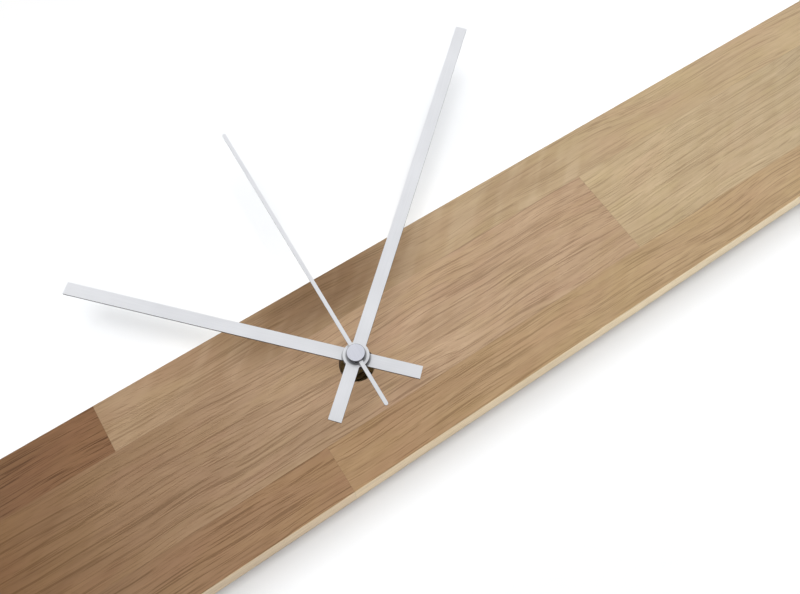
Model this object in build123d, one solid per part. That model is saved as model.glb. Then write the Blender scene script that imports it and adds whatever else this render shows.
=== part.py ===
from build123d import *
import os
from math import cos, radians, sin

# Long oak wall clock: a stave-glued plank with bare hands, and a quartz movement let into its back.
# X runs along the plank to the right, Y into the wall and Z up. The origin lies on the wall plane, on the
# axis of the hands, midway between the entry holes of the two keyhole hangers. Sizes in millimetres.

# Plank
PLANK_LENGTH = 700.0
TOP_ROW_WIDTH = 20.3
MIDDLE_ROW_WIDTH = 40.5
BOTTOM_ROW_WIDTH = 19.2
HUB_ABOVE_MIDDLE_ROW = 21.0
TOP_ROW_JOINTS = (-91.2,)
MIDDLE_ROW_JOINTS = (-232.0, 125.7)
BOTTOM_ROW_JOINTS = (-26.0,)
ARRIS_RADIUS = 0.6
COUNTERBORE_RADIUS = 7.0
COUNTERBORE_DEPTH = 2.4
NUT_SEAT_THICKNESS = 2.4
POCKET_CLEARANCE = 0.5
POCKET_CORNER_RADIUS = 3.5

# Keyhole hangers
HANGER_SPACING = 500.0
HANGER_WIDTH = 16.0
HANGER_THICKNESS = 1.5
HANGER_CORNER_RADIUS = 4.0
ENTRY_RADIUS = 4.5
SLOT_WIDTH = 4.6
SLOT_RISE = 7.5
HEAD_ROOM_DEPTH = 8.0
HEAD_ROOM_MARGIN = 0.8
SCREW_RADIUS = 1.5
SCREW_HEAD_RADIUS = 2.9
SCREW_LENGTH = 11.0
SCREW_TO_SLOT = 6.0
SCREW_TO_ENTRY = 9.0
SCREW_TO_END = 4.0
SCREW_CLEARANCE = 0.1
CROSS_LENGTH = 3.0
CROSS_WIDTH = 0.7
CROSS_DEPTH = 1.1
HANGER_LET_IN_CLEARANCE = 0.1

# Movement case
GASKET_THICKNESS = 0.8
GASKET_BORDER = 4.0
REAR_RECESS = 0.2
CASE_WALL = 1.2
REAR_WALL = 1.4
PARTITION_WALL = 1.0
CASE_CORNER_RADIUS = 3.0
COVER_THICKNESS = 1.2
CASE_HEADROOM = 1.7
INNER_CLEARANCE = 0.4
PILLAR_RADIUS = 1.6
PILLAR_INSET = 3.3
BOSS_RADIUS = 1.6
BOSS_HEIGHT = 1.0
PANEL_MARGIN = 3.0
PANEL_CORNER_RADIUS = 2.0
PANEL_DEPTH = 0.3

# Battery bay
CELL_RADIUS = 7.25
CELL_LENGTH = 50.5
NUB_RADIUS = 2.75
NUB_LENGTH = 1.3
CELL_RIM_RADIUS = 0.8
BAY_CLEARANCE = 0.3
CELL_LIFT = 0.2
CONTACT_THICKNESS = 0.3
CONTACT_WIDTH = 6.0
LEAF_TRAVEL = 2.8
LEAF_HALF_SPAN = 5.0
LEAF_END_GAP = 0.4
CONTACT_FOOT_WIDTH = 1.5
CONTACT_FOOT_RISE = 2.7
NEGATIVE_FOOT_LENGTH = 5.0
POSITIVE_FOOT_LAP = 4.0
NOTCH_CLEARANCE = 0.2

# Wheels: layers from front to back
WHEEL_THICKNESS = 1.0
LAYER_GAP = 0.4
PINION_OVERLAP = 0.1
MIDDLE_PLATE_THICKNESS = 1.0
MAGNET_LENGTH = 2.0
STATOR_THICKNESS = 1.0

# Wheels: tooth counts and axis places, reach in millimetres and angle from +X towards +Z
SECOND_TEETH = 40
SECOND_PINION_TEETH = 8
THIRD_TEETH = 64
THIRD_PINION_TEETH = 8
MINUTE_TEETH = 60
MINUTE_PINION_TEETH = 10
WORK_TEETH = 30
WORK_PINION_TEETH = 8
HOUR_TEETH = 32
SETTING_PINION_TEETH = 10
INTERMEDIATE_TEETH = 48
INTERMEDIATE_PINION_TEETH = 8
ROTOR_PINION_TEETH = 8
THIRD_REACH = 11.0
THIRD_ANGLE = 150.0
WORK_REACH = 8.0
WORK_ANGLE = 30.0
INTERMEDIATE_REACH = 7.2
INTERMEDIATE_ANGLE = 75.0
ROTOR_REACH = 7.0
ROTOR_ANGLE = 80.0
SETTING_TOOTH = -16

# Tooth form, in modules and in shares of the tooth pitch
ADDENDUM = 0.9
DEDENDUM = 1.25
TIP_SHARE = 0.10
PITCH_SHARE = 0.205
ROOT_SHARE = 0.225

# Shafts and pipes
RUNNING_FIT = 0.08
PRESS_GAP = 0.01
PIVOT_RADIUS = 0.5
PIVOT_FIT = 0.05
PIVOT_END_GAP = 0.2
BLIND_FLOOR = 0.5
ARBOR_RADIUS = 0.8
SECOND_ARBOR_RADIUS = 0.5
MINUTE_PIPE_RADIUS = 1.6
HOUR_PIPE_RADIUS = 2.5
SETTING_SHAFT_RADIUS = 1.2
STUD_RADIUS = 0.7
PINION_PASS_GAP = 0.2
BUSH_RADIUS = 4.0
BUSH_PROUD = 5.6
BUSH_HOLE_GAP = 0.2
BUSH_FLANGE_RADIUS = 5.6
BUSH_SPIGOT_RADIUS = 4.6
THREAD_PITCH = 0.75
THREAD_DEPTH = 0.4
NUT_FLAT_TO_FLAT = 11.0
NUT_THICKNESS = 1.8
NUT_CHAMFER = 0.4
NUT_GAP = 0.05
WASHER_RADIUS = 6.5
WASHER_THICKNESS = 0.5

# Setting knob
KNOB_RADIUS = 5.5
KNOB_THICKNESS = 1.6
KNOB_GRIPS = 24
KNOB_GRIP_RADIUS = 0.45
KNOB_SLOT_WIDTH = 1.2
KNOB_SLOT_DEPTH = 0.7
KNOB_SUNK = 0.1
CUP_GAP = 0.4
CUP_WALL = 1.0
CUP_FLOOR = 1.0

# Motor and circuit
MAGNET_RADIUS = 3.0
STATOR_GAP = 0.5
STATOR_LENGTH = 26.0
STATOR_HEIGHT = 10.0
STATOR_ARM_WIDTH = 5.0
STATOR_POST_RADIUS = 1.5
STATOR_POST_DROP = 2.8
COIL_RISE = 8.2
CORE_HEIGHT = 3.0
BOBBIN_FLANGE_RADIUS = 2.9
BOBBIN_FLANGE_THICKNESS = 0.8
BOBBIN_TUBE_RADIUS = 2.0
WINDING_RADIUS = 2.6
BOARD_THICKNESS = 0.8
BOARD_WIDTH = 12.0
BOARD_HEIGHT = 29.0
CHIP_RADIUS = 3.0
CHIP_HEIGHT = 1.0
CHIP_EDGE_RADIUS = 0.6
CHIP_ABOVE_HUB = 8.0
CRYSTAL_RADIUS = 1.0
CRYSTAL_LENGTH = 6.0
CRYSTAL_ABOVE_HUB = 15.0

# Hands, heights from the plank's face to the top of each plate; angles clockwise from twelve
HAND_WIDTH = 5.0
HAND_THICKNESS = 1.0
HAND_HUB_RADIUS = 5.0
HOUR_HAND_TIP = 115.4
HOUR_HAND_TAIL = 25.0
HOUR_HAND_ANGLE = -43.2
HOUR_HAND_HEIGHT = 9.1
HOUR_COLLET_RADIUS = 4.0
HOUR_COLLET_LENGTH = 1.4
MINUTE_HAND_TIP = 162.3
MINUTE_HAND_TAIL = 25.7
MINUTE_HAND_ANGLE = 49.15
MINUTE_HAND_LIFT = 2.7
MINUTE_COLLET_RADIUS = 3.2
MINUTE_COLLET_LENGTH = 1.1
PIPE_PROUD = 0.15
SECOND_HAND_TIP = 111.0
SECOND_HAND_TAIL = 22.5
SECOND_HAND_ANGLE = 2.2
SECOND_HAND_WIDTH = 1.5
SECOND_HAND_THICKNESS = 0.6
SECOND_TUBE_RADIUS = 1.2
SECOND_TUBE_LENGTH = 1.0
SECOND_TUBE_GAP = 0.3
SECOND_TUBE_ROOF = 0.1
CAP_RADIUS = 3.45
CAP_THICKNESS = 0.8
CAP_EDGE_RADIUS = 0.2

# Depths inside the movement, counted from the front of its case
HOUR_LAYER = COVER_THICKNESS + LAYER_GAP
WORK_LAYER = HOUR_LAYER + WHEEL_THICKNESS + LAYER_GAP
MINUTE_LAYER = WORK_LAYER + WHEEL_THICKNESS + LAYER_GAP
THIRD_LAYER = MINUTE_LAYER + WHEEL_THICKNESS + LAYER_GAP
PLATE_LAYER = THIRD_LAYER + WHEEL_THICKNESS + LAYER_GAP
PLATE_BACK = PLATE_LAYER + MIDDLE_PLATE_THICKNESS
SECOND_LAYER = PLATE_BACK + LAYER_GAP
INTERMEDIATE_LAYER = SECOND_LAYER + WHEEL_THICKNESS + LAYER_GAP
MAGNET_LAYER = INTERMEDIATE_LAYER + WHEEL_THICKNESS + LAYER_GAP
REAR_BOSS_LAYER = MAGNET_LAYER + MAGNET_LENGTH + LAYER_GAP
REAR_WALL_LAYER = REAR_BOSS_LAYER + BOSS_HEIGHT
CELL_AXIS_DEPTH = COVER_THICKNESS + CELL_LIFT + CELL_RADIUS
CASE_DEPTH = max(REAR_WALL_LAYER + REAR_WALL, CELL_AXIS_DEPTH + CELL_RADIUS + CELL_LIFT)
STATOR_LAYER = MAGNET_LAYER + (MAGNET_LENGTH - STATOR_THICKNESS) / 2
CORE_LAYER = STATOR_LAYER - STATOR_THICKNESS
CUP_LAYER = CASE_DEPTH - KNOB_SUNK - KNOB_THICKNESS - LAYER_GAP - CUP_FLOOR

# Places along Y: the wall plane is zero and the room is on the negative side
CASE_BACK_Y = -REAR_RECESS
CASE_FRONT_Y = CASE_BACK_Y - CASE_DEPTH
POCKET_FLOOR_Y = CASE_FRONT_Y - GASKET_THICKNESS
NUT_SEAT_Y = POCKET_FLOOR_Y - NUT_SEAT_THICKNESS
FRONT_Y = NUT_SEAT_Y - COUNTERBORE_DEPTH
BUSH_END_Y = FRONT_Y - BUSH_PROUD
HOUR_TOP_Y = FRONT_Y - HOUR_HAND_HEIGHT
MINUTE_TOP_Y = HOUR_TOP_Y - MINUTE_HAND_LIFT
SECOND_TUBE_Y = MINUTE_TOP_Y - PIPE_PROUD - SECOND_TUBE_GAP
SECOND_BACK_Y = SECOND_TUBE_Y - SECOND_TUBE_LENGTH
CAP_BACK_Y = SECOND_BACK_Y - SECOND_HAND_THICKNESS

# Rows of staves, from the hub's height
MIDDLE_ROW_BOTTOM_Z = -HUB_ABOVE_MIDDLE_ROW
MIDDLE_ROW_TOP_Z = MIDDLE_ROW_BOTTOM_Z + MIDDLE_ROW_WIDTH
PLANK_TOP_Z = MIDDLE_ROW_TOP_Z + TOP_ROW_WIDTH
PLANK_BOTTOM_Z = MIDDLE_ROW_BOTTOM_Z - BOTTOM_ROW_WIDTH


def polar(reach, angle, start=(0.0, 0.0)):
    """A point (x, z) at a reach and an angle from a start point."""
    return (start[0] + reach * cos(radians(angle)), start[1] + reach * sin(radians(angle)))


# Tooth modules follow from the axis distances and the tooth counts
SECOND_TO_THIRD_MODULE = 2 * THIRD_REACH / (SECOND_PINION_TEETH + THIRD_TEETH)
THIRD_TO_MINUTE_MODULE = 2 * THIRD_REACH / (THIRD_PINION_TEETH + MINUTE_TEETH)
MINUTE_TO_WORK_MODULE = 2 * WORK_REACH / (MINUTE_PINION_TEETH + WORK_TEETH)
WORK_TO_HOUR_MODULE = 2 * WORK_REACH / (WORK_PINION_TEETH + HOUR_TEETH)
INTERMEDIATE_TO_SECOND_MODULE = 2 * INTERMEDIATE_REACH / (INTERMEDIATE_PINION_TEETH + SECOND_TEETH)
ROTOR_TO_INTERMEDIATE_MODULE = 2 * ROTOR_REACH / (ROTOR_PINION_TEETH + INTERMEDIATE_TEETH)

# Axes of the train as (x, z)
HUB = (0.0, 0.0)
THIRD_AXIS = polar(THIRD_REACH, THIRD_ANGLE)
WORK_AXIS = polar(WORK_REACH, WORK_ANGLE)
INTERMEDIATE_AXIS = polar(INTERMEDIATE_REACH, INTERMEDIATE_ANGLE)
ROTOR_AXIS = polar(ROTOR_REACH, ROTOR_ANGLE, INTERMEDIATE_AXIS)
WORK_PHASE = WORK_ANGLE + 180
SETTING_ANGLE = WORK_PHASE + SETTING_TOOTH * 360 / WORK_TEETH
SETTING_REACH = MINUTE_TO_WORK_MODULE * (WORK_TEETH + SETTING_PINION_TEETH) / 2
SETTING_AXIS = polar(SETTING_REACH, SETTING_ANGLE, WORK_AXIS)
COIL_CENTRE = (ROTOR_AXIS[0], ROTOR_AXIS[1] + COIL_RISE)

# Outline of the case: the bay lies below the largest wheel on the hub, the coil sets the top
CASE_WIDTH = CELL_LENGTH + CONTACT_THICKNESS + LEAF_TRAVEL + 2 * CASE_WALL
INNER_RIGHT = CASE_WIDTH / 2 - CASE_WALL
CHAMBER_BOTTOM_Z = -THIRD_TO_MINUTE_MODULE * (MINUTE_TEETH / 2 + ADDENDUM) - INNER_CLEARANCE
BAY_TOP_Z = CHAMBER_BOTTOM_Z - PARTITION_WALL
CELL_AXIS_Z = BAY_TOP_Z - BAY_CLEARANCE - CELL_RADIUS
BAY_BOTTOM_Z = CELL_AXIS_Z - CELL_RADIUS - BAY_CLEARANCE
CASE_BOTTOM_Z = BAY_BOTTOM_Z - CASE_WALL
CHAMBER_TOP_Z = COIL_CENTRE[1] + BOBBIN_FLANGE_RADIUS + CASE_HEADROOM
CASE_TOP_Z = CHAMBER_TOP_Z + CASE_WALL
CASE_HEIGHT = CASE_TOP_Z - CASE_BOTTOM_Z
CASE_CENTRE_Z = (CASE_TOP_Z + CASE_BOTTOM_Z) / 2
PILLARS = [
    (side * (INNER_RIGHT - PILLAR_INSET), z)
    for side in (-1, 1)
    for z in (CHAMBER_BOTTOM_Z + PILLAR_INSET, CHAMBER_TOP_Z - PILLAR_INSET)
]
FOOT_TOP_Z = CHAMBER_BOTTOM_Z + CONTACT_FOOT_RISE
BOARD_LEFT = -INNER_RIGHT + INNER_CLEARANCE + CONTACT_THICKNESS
BOARD_BOTTOM_Z = CHAMBER_BOTTOM_Z + INNER_CLEARANCE


def facing(y):
    """A drawing plane at y that faces the room, with X to the right and Z up."""
    return Plane(origin=(0, y, 0), x_dir=(1, 0, 0), z_dir=(0, -1, 0))


def slab(sketch, y_back, y_front):
    """A flat sketch (drawn in X and Z) as a plate between two places along Y."""
    return extrude(facing(y_back) * sketch, y_back - y_front)


def depth(value):
    """The place along Y of a depth counted from the front of the movement case."""
    return CASE_FRONT_Y + value


def layer(sketch, front, back):
    """A flat sketch as a plate between two depths inside the movement."""
    return slab(sketch, depth(back), depth(front))


def disc(radius, axis=HUB):
    """A round sketch centred on an axis."""
    return Pos(*axis) * Circle(radius)


def ring(outer, inner, axis=HUB):
    """A flat ring centred on an axis."""
    return disc(outer, axis) - disc(inner, axis)


def box_sketch(left, right, bottom, top):
    """A rectangle between two places along X and two along Z."""
    return Pos((left + right) / 2, (bottom + top) / 2) * Rectangle(right - left, top - bottom)


def gear(teeth, module, axis, phase):
    """The outline of a toothed wheel, with one tooth pointing along the phase angle."""
    form = (
        (teeth / 2 - DEDENDUM, -ROOT_SHARE),
        (teeth / 2, -PITCH_SHARE),
        (teeth / 2 + ADDENDUM, -TIP_SHARE),
        (teeth / 2 + ADDENDUM, TIP_SHARE),
        (teeth / 2, PITCH_SHARE),
        (teeth / 2 - DEDENDUM, ROOT_SHARE),
    )
    step = 360 / teeth
    points = [
        polar(radius * module, phase + (tooth + share) * step, axis)
        for tooth in range(teeth)
        for radius, share in form
    ]
    return make_face(Polyline(*points, close=True))


def gap_phase(teeth, angle):
    """The phase that points a gap between two teeth along an angle."""
    return angle + 180 / teeth


# Plank

def hanger_outline(x, margin=0.0):
    """Outline of a keyhole plate, rounded at both ends."""
    top = SLOT_RISE + SCREW_TO_SLOT + SCREW_TO_END
    bottom = -SCREW_TO_ENTRY - SCREW_TO_END
    centre = (x, (top + bottom) / 2)
    return Pos(*centre) * RectangleRounded(
        HANGER_WIDTH + 2 * margin, top - bottom + 2 * margin, HANGER_CORNER_RADIUS
    )


def keyhole(x, entry_radius, slot_width):
    """Entry hole with a slot above it."""
    slot = box_sketch(x - slot_width / 2, x + slot_width / 2, 0, SLOT_RISE)
    return disc(entry_radius, (x, 0)) + slot + disc(slot_width / 2, (x, SLOT_RISE))


def hanger_screw_places(x):
    """Axes of the two screws of one keyhole plate."""
    return [(x, SLOT_RISE + SCREW_TO_SLOT), (x, -SCREW_TO_ENTRY)]


def countersunk(axis, grow):
    """A countersunk screw with its head level with the wall plane, grown for its clearance hole."""
    head_depth = SCREW_HEAD_RADIUS - SCREW_RADIUS
    x, z = axis
    head = Pos(x, -head_depth / 2, z) * Rot(X=-90) * Cone(
        SCREW_RADIUS + grow, SCREW_HEAD_RADIUS + grow, head_depth
    )
    shank = slab(disc(SCREW_RADIUS + grow, axis), -head_depth, -SCREW_LENGTH - grow)
    return head + shank


def hanger_screw(axis):
    """One wood screw of a keyhole plate, with a cross recess in its head."""
    cross = Rectangle(CROSS_LENGTH, CROSS_WIDTH) + Rectangle(CROSS_WIDTH, CROSS_LENGTH)
    return countersunk(axis, 0) - slab(Pos(*axis) * cross, 0, -CROSS_DEPTH)


HANGER_PLACES = {"left": -HANGER_SPACING / 2, "right": HANGER_SPACING / 2}


def case_outline(grow, corner_radius):
    """Outline of the movement case, grown on every side."""
    return Pos(0, CASE_CENTRE_Z) * RectangleRounded(
        CASE_WIDTH + 2 * grow, CASE_HEIGHT + 2 * grow, corner_radius
    )


def whole_plank():
    """The glued plank with its eased edges and everything cut into it."""
    blank = slab(
        box_sketch(-PLANK_LENGTH / 2, PLANK_LENGTH / 2, PLANK_BOTTOM_Z, PLANK_TOP_Z), 0, FRONT_Y
    )
    blank = fillet(blank.edges(), ARRIS_RADIUS)
    blank -= slab(case_outline(POCKET_CLEARANCE, POCKET_CORNER_RADIUS), 0, POCKET_FLOOR_Y)
    blank -= slab(disc(BUSH_RADIUS + BUSH_HOLE_GAP), POCKET_FLOOR_Y, NUT_SEAT_Y)
    blank -= slab(disc(COUNTERBORE_RADIUS), NUT_SEAT_Y, FRONT_Y)
    for x in HANGER_PLACES.values():
        blank -= slab(hanger_outline(x, HANGER_LET_IN_CLEARANCE), 0, -HANGER_THICKNESS)
        room = keyhole(x, ENTRY_RADIUS + HEAD_ROOM_MARGIN, 2 * (ENTRY_RADIUS + HEAD_ROOM_MARGIN))
        blank -= slab(room, -HANGER_THICKNESS, -HANGER_THICKNESS - HEAD_ROOM_DEPTH)
        for place in hanger_screw_places(x):
            blank -= countersunk(place, SCREW_CLEARANCE)
    return blank


def staves():
    """Each stave of the plank, cut from it at the glue lines and butt joints."""
    rows = {
        "top": (MIDDLE_ROW_TOP_Z, PLANK_TOP_Z, TOP_ROW_JOINTS),
        "middle": (MIDDLE_ROW_BOTTOM_Z, MIDDLE_ROW_TOP_Z, MIDDLE_ROW_JOINTS),
        "bottom": (PLANK_BOTTOM_Z, MIDDLE_ROW_BOTTOM_Z, BOTTOM_ROW_JOINTS),
    }
    plank = whole_plank()
    pieces = {}
    for row, (bottom, top, joints) in rows.items():
        ends = (-PLANK_LENGTH / 2, *joints, PLANK_LENGTH / 2)
        for number, (left, right) in enumerate(zip(ends, ends[1:]), start=1):
            pieces[f"oak_stave_{row}_{number}"] = plank & slab(box_sketch(left, right, bottom, top), 0, FRONT_Y)
    return pieces


def hangers():
    """Keyhole plates, and their screws as one group."""
    pieces = {}
    screws = []
    for side, x in HANGER_PLACES.items():
        plate = slab(hanger_outline(x) - keyhole(x, ENTRY_RADIUS, SLOT_WIDTH), 0, -HANGER_THICKNESS)
        for place in hanger_screw_places(x):
            plate -= countersunk(place, SCREW_CLEARANCE)
            screws.append(hanger_screw(place))
        pieces[f"hanger_plate_{side}"] = plate
    pieces["hanger_screws"] = Compound(children=screws)
    return pieces


# Movement case and its fixing

def front_cover():
    """Flat cover at the front of the movement, with pillars, pivot bosses and the minute-work stud."""
    cover = layer(
        case_outline(0, CASE_CORNER_RADIUS) - disc(BUSH_SPIGOT_RADIUS + PRESS_GAP), 0, COVER_THICKNESS
    )
    for pillar in PILLARS:
        cover += layer(disc(PILLAR_RADIUS, pillar), COVER_THICKNESS, PLATE_LAYER)
    for axis in (THIRD_AXIS, SETTING_AXIS):
        cover += layer(disc(BOSS_RADIUS, axis), COVER_THICKNESS, COVER_THICKNESS + BOSS_HEIGHT)
        cover -= layer(disc(PIVOT_RADIUS + PIVOT_FIT, axis), BLIND_FLOOR, COVER_THICKNESS + BOSS_HEIGHT)
    stud_end = WORK_LAYER + WHEEL_THICKNESS + PIVOT_END_GAP
    return cover + layer(disc(STUD_RADIUS, WORK_AXIS), COVER_THICKNESS, stud_end)


def rear_panel(cup_radius):
    """Outline of the shallow panel in the back of the case, beside the cup of the setting knob."""
    left = -INNER_RIGHT + PANEL_MARGIN
    right = SETTING_AXIS[0] - cup_radius - PANEL_MARGIN
    bottom = CHAMBER_BOTTOM_Z + PANEL_MARGIN
    top = CHAMBER_TOP_Z - PANEL_MARGIN
    return Pos((left + right) / 2, (bottom + top) / 2) * RectangleRounded(
        right - left, top - bottom, PANEL_CORNER_RADIUS
    )


def rear_case():
    """Box behind the cover: wheel chamber, open battery bay and the cup of the setting knob."""
    shell = layer(case_outline(0, CASE_CORNER_RADIUS), COVER_THICKNESS, CASE_DEPTH)
    shell -= layer(
        box_sketch(-INNER_RIGHT, INNER_RIGHT, CHAMBER_BOTTOM_Z, CHAMBER_TOP_Z), COVER_THICKNESS, REAR_WALL_LAYER
    )
    shell -= layer(
        box_sketch(-INNER_RIGHT, INNER_RIGHT, BAY_BOTTOM_Z, BAY_TOP_Z), COVER_THICKNESS, CASE_DEPTH
    )
    notch = CONTACT_WIDTH / 2 + NOTCH_CLEARANCE
    for side in (-1, 1):
        inner = side * (INNER_RIGHT - CONTACT_THICKNESS - NOTCH_CLEARANCE)
        edges = sorted((inner, side * INNER_RIGHT))
        shell -= layer(
            box_sketch(*edges, BAY_TOP_Z, CHAMBER_BOTTOM_Z), CELL_AXIS_DEPTH - notch, CELL_AXIS_DEPTH + notch
        )
    for axis in (HUB, INTERMEDIATE_AXIS, ROTOR_AXIS):
        shell += layer(disc(BOSS_RADIUS, axis), REAR_BOSS_LAYER, REAR_WALL_LAYER)
        pivot_floor = REAR_WALL_LAYER + PIVOT_END_GAP
        shell -= layer(disc(PIVOT_RADIUS + PIVOT_FIT, axis), REAR_BOSS_LAYER, pivot_floor)
    cup = KNOB_RADIUS + CUP_GAP
    shell += layer(disc(cup + CUP_WALL, SETTING_AXIS), CUP_LAYER, CASE_DEPTH)
    shell -= layer(disc(cup, SETTING_AXIS), CUP_LAYER + CUP_FLOOR, CASE_DEPTH)
    shell -= layer(disc(SETTING_SHAFT_RADIUS + RUNNING_FIT, SETTING_AXIS), CUP_LAYER, CUP_LAYER + CUP_FLOOR)
    return shell - layer(rear_panel(cup + CUP_WALL), CASE_DEPTH - PANEL_DEPTH, CASE_DEPTH)


def middle_plate():
    """Plate between the two halves of the train; it carries the motor and the circuit board."""
    edge = INNER_RIGHT - INNER_CLEARANCE
    outline = box_sketch(-edge, edge, CHAMBER_BOTTOM_Z + INNER_CLEARANCE, CHAMBER_TOP_Z - INNER_CLEARANCE)
    pinion_tip = SECOND_TO_THIRD_MODULE * (SECOND_PINION_TEETH / 2 + ADDENDUM)
    outline -= disc(pinion_tip + PINION_PASS_GAP)
    outline -= disc(SETTING_SHAFT_RADIUS + RUNNING_FIT, SETTING_AXIS)
    for axis in (THIRD_AXIS, INTERMEDIATE_AXIS, ROTOR_AXIS):
        outline -= disc(PIVOT_RADIUS + PIVOT_FIT, axis)
    plate = layer(outline, PLATE_LAYER, PLATE_BACK)
    for post in stator_posts():
        plate += layer(disc(STATOR_POST_RADIUS, post), PLATE_BACK, STATOR_LAYER)
    return plate


def threaded_bush():
    """Brass bush fixed in the cover: spigot, flange and threaded neck, with the thread as plain grooves."""
    bore = HOUR_PIPE_RADIUS + RUNNING_FIT
    bush = layer(disc(BUSH_SPIGOT_RADIUS), 0, COVER_THICKNESS)
    bush += slab(disc(BUSH_FLANGE_RADIUS), CASE_FRONT_Y, POCKET_FLOOR_Y)
    neck_length = POCKET_FLOOR_Y - BUSH_END_Y
    turns = int(neck_length / THREAD_PITCH) - 1
    root = BUSH_RADIUS - THREAD_DEPTH
    start = POCKET_FLOOR_Y - (neck_length - turns * THREAD_PITCH)
    profile = [(0, POCKET_FLOOR_Y), (BUSH_RADIUS, POCKET_FLOOR_Y), (BUSH_RADIUS, start)]
    for turn in range(turns):
        crest = start - turn * THREAD_PITCH
        profile += [(root, crest - THREAD_PITCH / 2), (BUSH_RADIUS, crest - THREAD_PITCH)]
    profile.append((0, BUSH_END_Y))
    bush += revolve(make_face(Polyline(*profile, close=True)), Axis.Y)
    return bush - slab(disc(bore), depth(COVER_THICKNESS), BUSH_END_Y)


def bush_fixing():
    """Gasket behind the wood, and washer and nut in the counterbore."""
    gasket = case_outline(-GASKET_BORDER, CASE_CORNER_RADIUS) - disc(BUSH_FLANGE_RADIUS + PRESS_GAP)
    washer_front = NUT_SEAT_Y - WASHER_THICKNESS
    nut_front = washer_front - NUT_THICKNESS
    nut = RegularPolygon(NUT_FLAT_TO_FLAT / 2, 6, major_radius=False) - disc(BUSH_RADIUS + NUT_GAP)
    nut = slab(nut, washer_front, nut_front)
    corner = NUT_FLAT_TO_FLAT / 2 / cos(radians(30))
    bevel = Pos(0, nut_front + NUT_CHAMFER / 2, 0) * Rot(X=90) * Cone(
        corner, corner - 2 * NUT_CHAMFER, NUT_CHAMFER
    )
    bevel += slab(disc(corner), washer_front, nut_front + NUT_CHAMFER)
    return {
        "movement_gasket": slab(gasket, CASE_FRONT_Y, POCKET_FLOOR_Y),
        "shaft_washer": slab(ring(WASHER_RADIUS, BUSH_RADIUS + BUSH_HOLE_GAP), NUT_SEAT_Y, washer_front),
        "shaft_nut": nut & bevel,
    }


# Wheels

def wheel_layer(teeth, module, axis, phase, front):
    """One toothed wheel of the common thickness."""
    return layer(gear(teeth, module, axis, phase), front, front + WHEEL_THICKNESS)


def pinion_layer(teeth, module, axis, phase, front, back):
    """One pinion between two depths."""
    return layer(gear(teeth, module, axis, phase), front, back)


def hour_wheel():
    """Hour wheel with its pipe, which turns inside the bush."""
    wheel = wheel_layer(
        HOUR_TEETH, WORK_TO_HOUR_MODULE, HUB, gap_phase(HOUR_TEETH, WORK_ANGLE), HOUR_LAYER
    )
    wheel += slab(disc(HOUR_PIPE_RADIUS), depth(HOUR_LAYER), HOUR_TOP_Y - PIPE_PROUD)
    bore = disc(MINUTE_PIPE_RADIUS + RUNNING_FIT)
    return wheel - slab(bore, depth(HOUR_LAYER + WHEEL_THICKNESS), HOUR_TOP_Y - PIPE_PROUD)


def minute_wheel():
    """Centre wheel with the minute pinion and the pipe that carries the minute hand."""
    wheel = wheel_layer(
        MINUTE_TEETH, THIRD_TO_MINUTE_MODULE, HUB, gap_phase(MINUTE_TEETH, THIRD_ANGLE), MINUTE_LAYER
    )
    pinion_front = WORK_LAYER - PINION_OVERLAP
    wheel += pinion_layer(
        MINUTE_PINION_TEETH, MINUTE_TO_WORK_MODULE, HUB, gap_phase(MINUTE_PINION_TEETH, WORK_ANGLE),
        pinion_front, MINUTE_LAYER,
    )
    wheel += slab(disc(MINUTE_PIPE_RADIUS), depth(pinion_front), MINUTE_TOP_Y - PIPE_PROUD)
    bore = disc(SECOND_ARBOR_RADIUS + RUNNING_FIT)
    return wheel - slab(bore, depth(MINUTE_LAYER + WHEEL_THICKNESS), MINUTE_TOP_Y - PIPE_PROUD)


def second_wheel():
    """Second wheel, its pinion and the long arbor that carries the second hand."""
    wheel = wheel_layer(
        SECOND_TEETH, INTERMEDIATE_TO_SECOND_MODULE, HUB, gap_phase(SECOND_TEETH, INTERMEDIATE_ANGLE), SECOND_LAYER
    )
    pinion_front = THIRD_LAYER - PINION_OVERLAP
    pinion_back = THIRD_LAYER + WHEEL_THICKNESS + PINION_OVERLAP
    wheel += pinion_layer(
        SECOND_PINION_TEETH, SECOND_TO_THIRD_MODULE, HUB, THIRD_ANGLE, pinion_front, pinion_back
    )
    wheel += layer(disc(ARBOR_RADIUS), pinion_back, SECOND_LAYER)
    wheel += slab(disc(SECOND_ARBOR_RADIUS), depth(pinion_front), SECOND_BACK_Y + SECOND_TUBE_ROOF)
    return wheel + layer(disc(PIVOT_RADIUS), SECOND_LAYER + WHEEL_THICKNESS, REAR_WALL_LAYER)


def third_wheel():
    """Third wheel and pinion, between the cover and the middle plate."""
    wheel = wheel_layer(
        THIRD_TEETH, SECOND_TO_THIRD_MODULE, THIRD_AXIS, gap_phase(THIRD_TEETH, THIRD_ANGLE + 180), THIRD_LAYER
    )
    pinion_front = MINUTE_LAYER - PINION_OVERLAP
    wheel += pinion_layer(
        THIRD_PINION_TEETH, THIRD_TO_MINUTE_MODULE, THIRD_AXIS, THIRD_ANGLE + 180, pinion_front, THIRD_LAYER
    )
    wheel += layer(disc(PIVOT_RADIUS, THIRD_AXIS), BLIND_FLOOR + PIVOT_END_GAP, pinion_front)
    return wheel + layer(disc(PIVOT_RADIUS, THIRD_AXIS), THIRD_LAYER + WHEEL_THICKNESS, PLATE_BACK)


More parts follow.
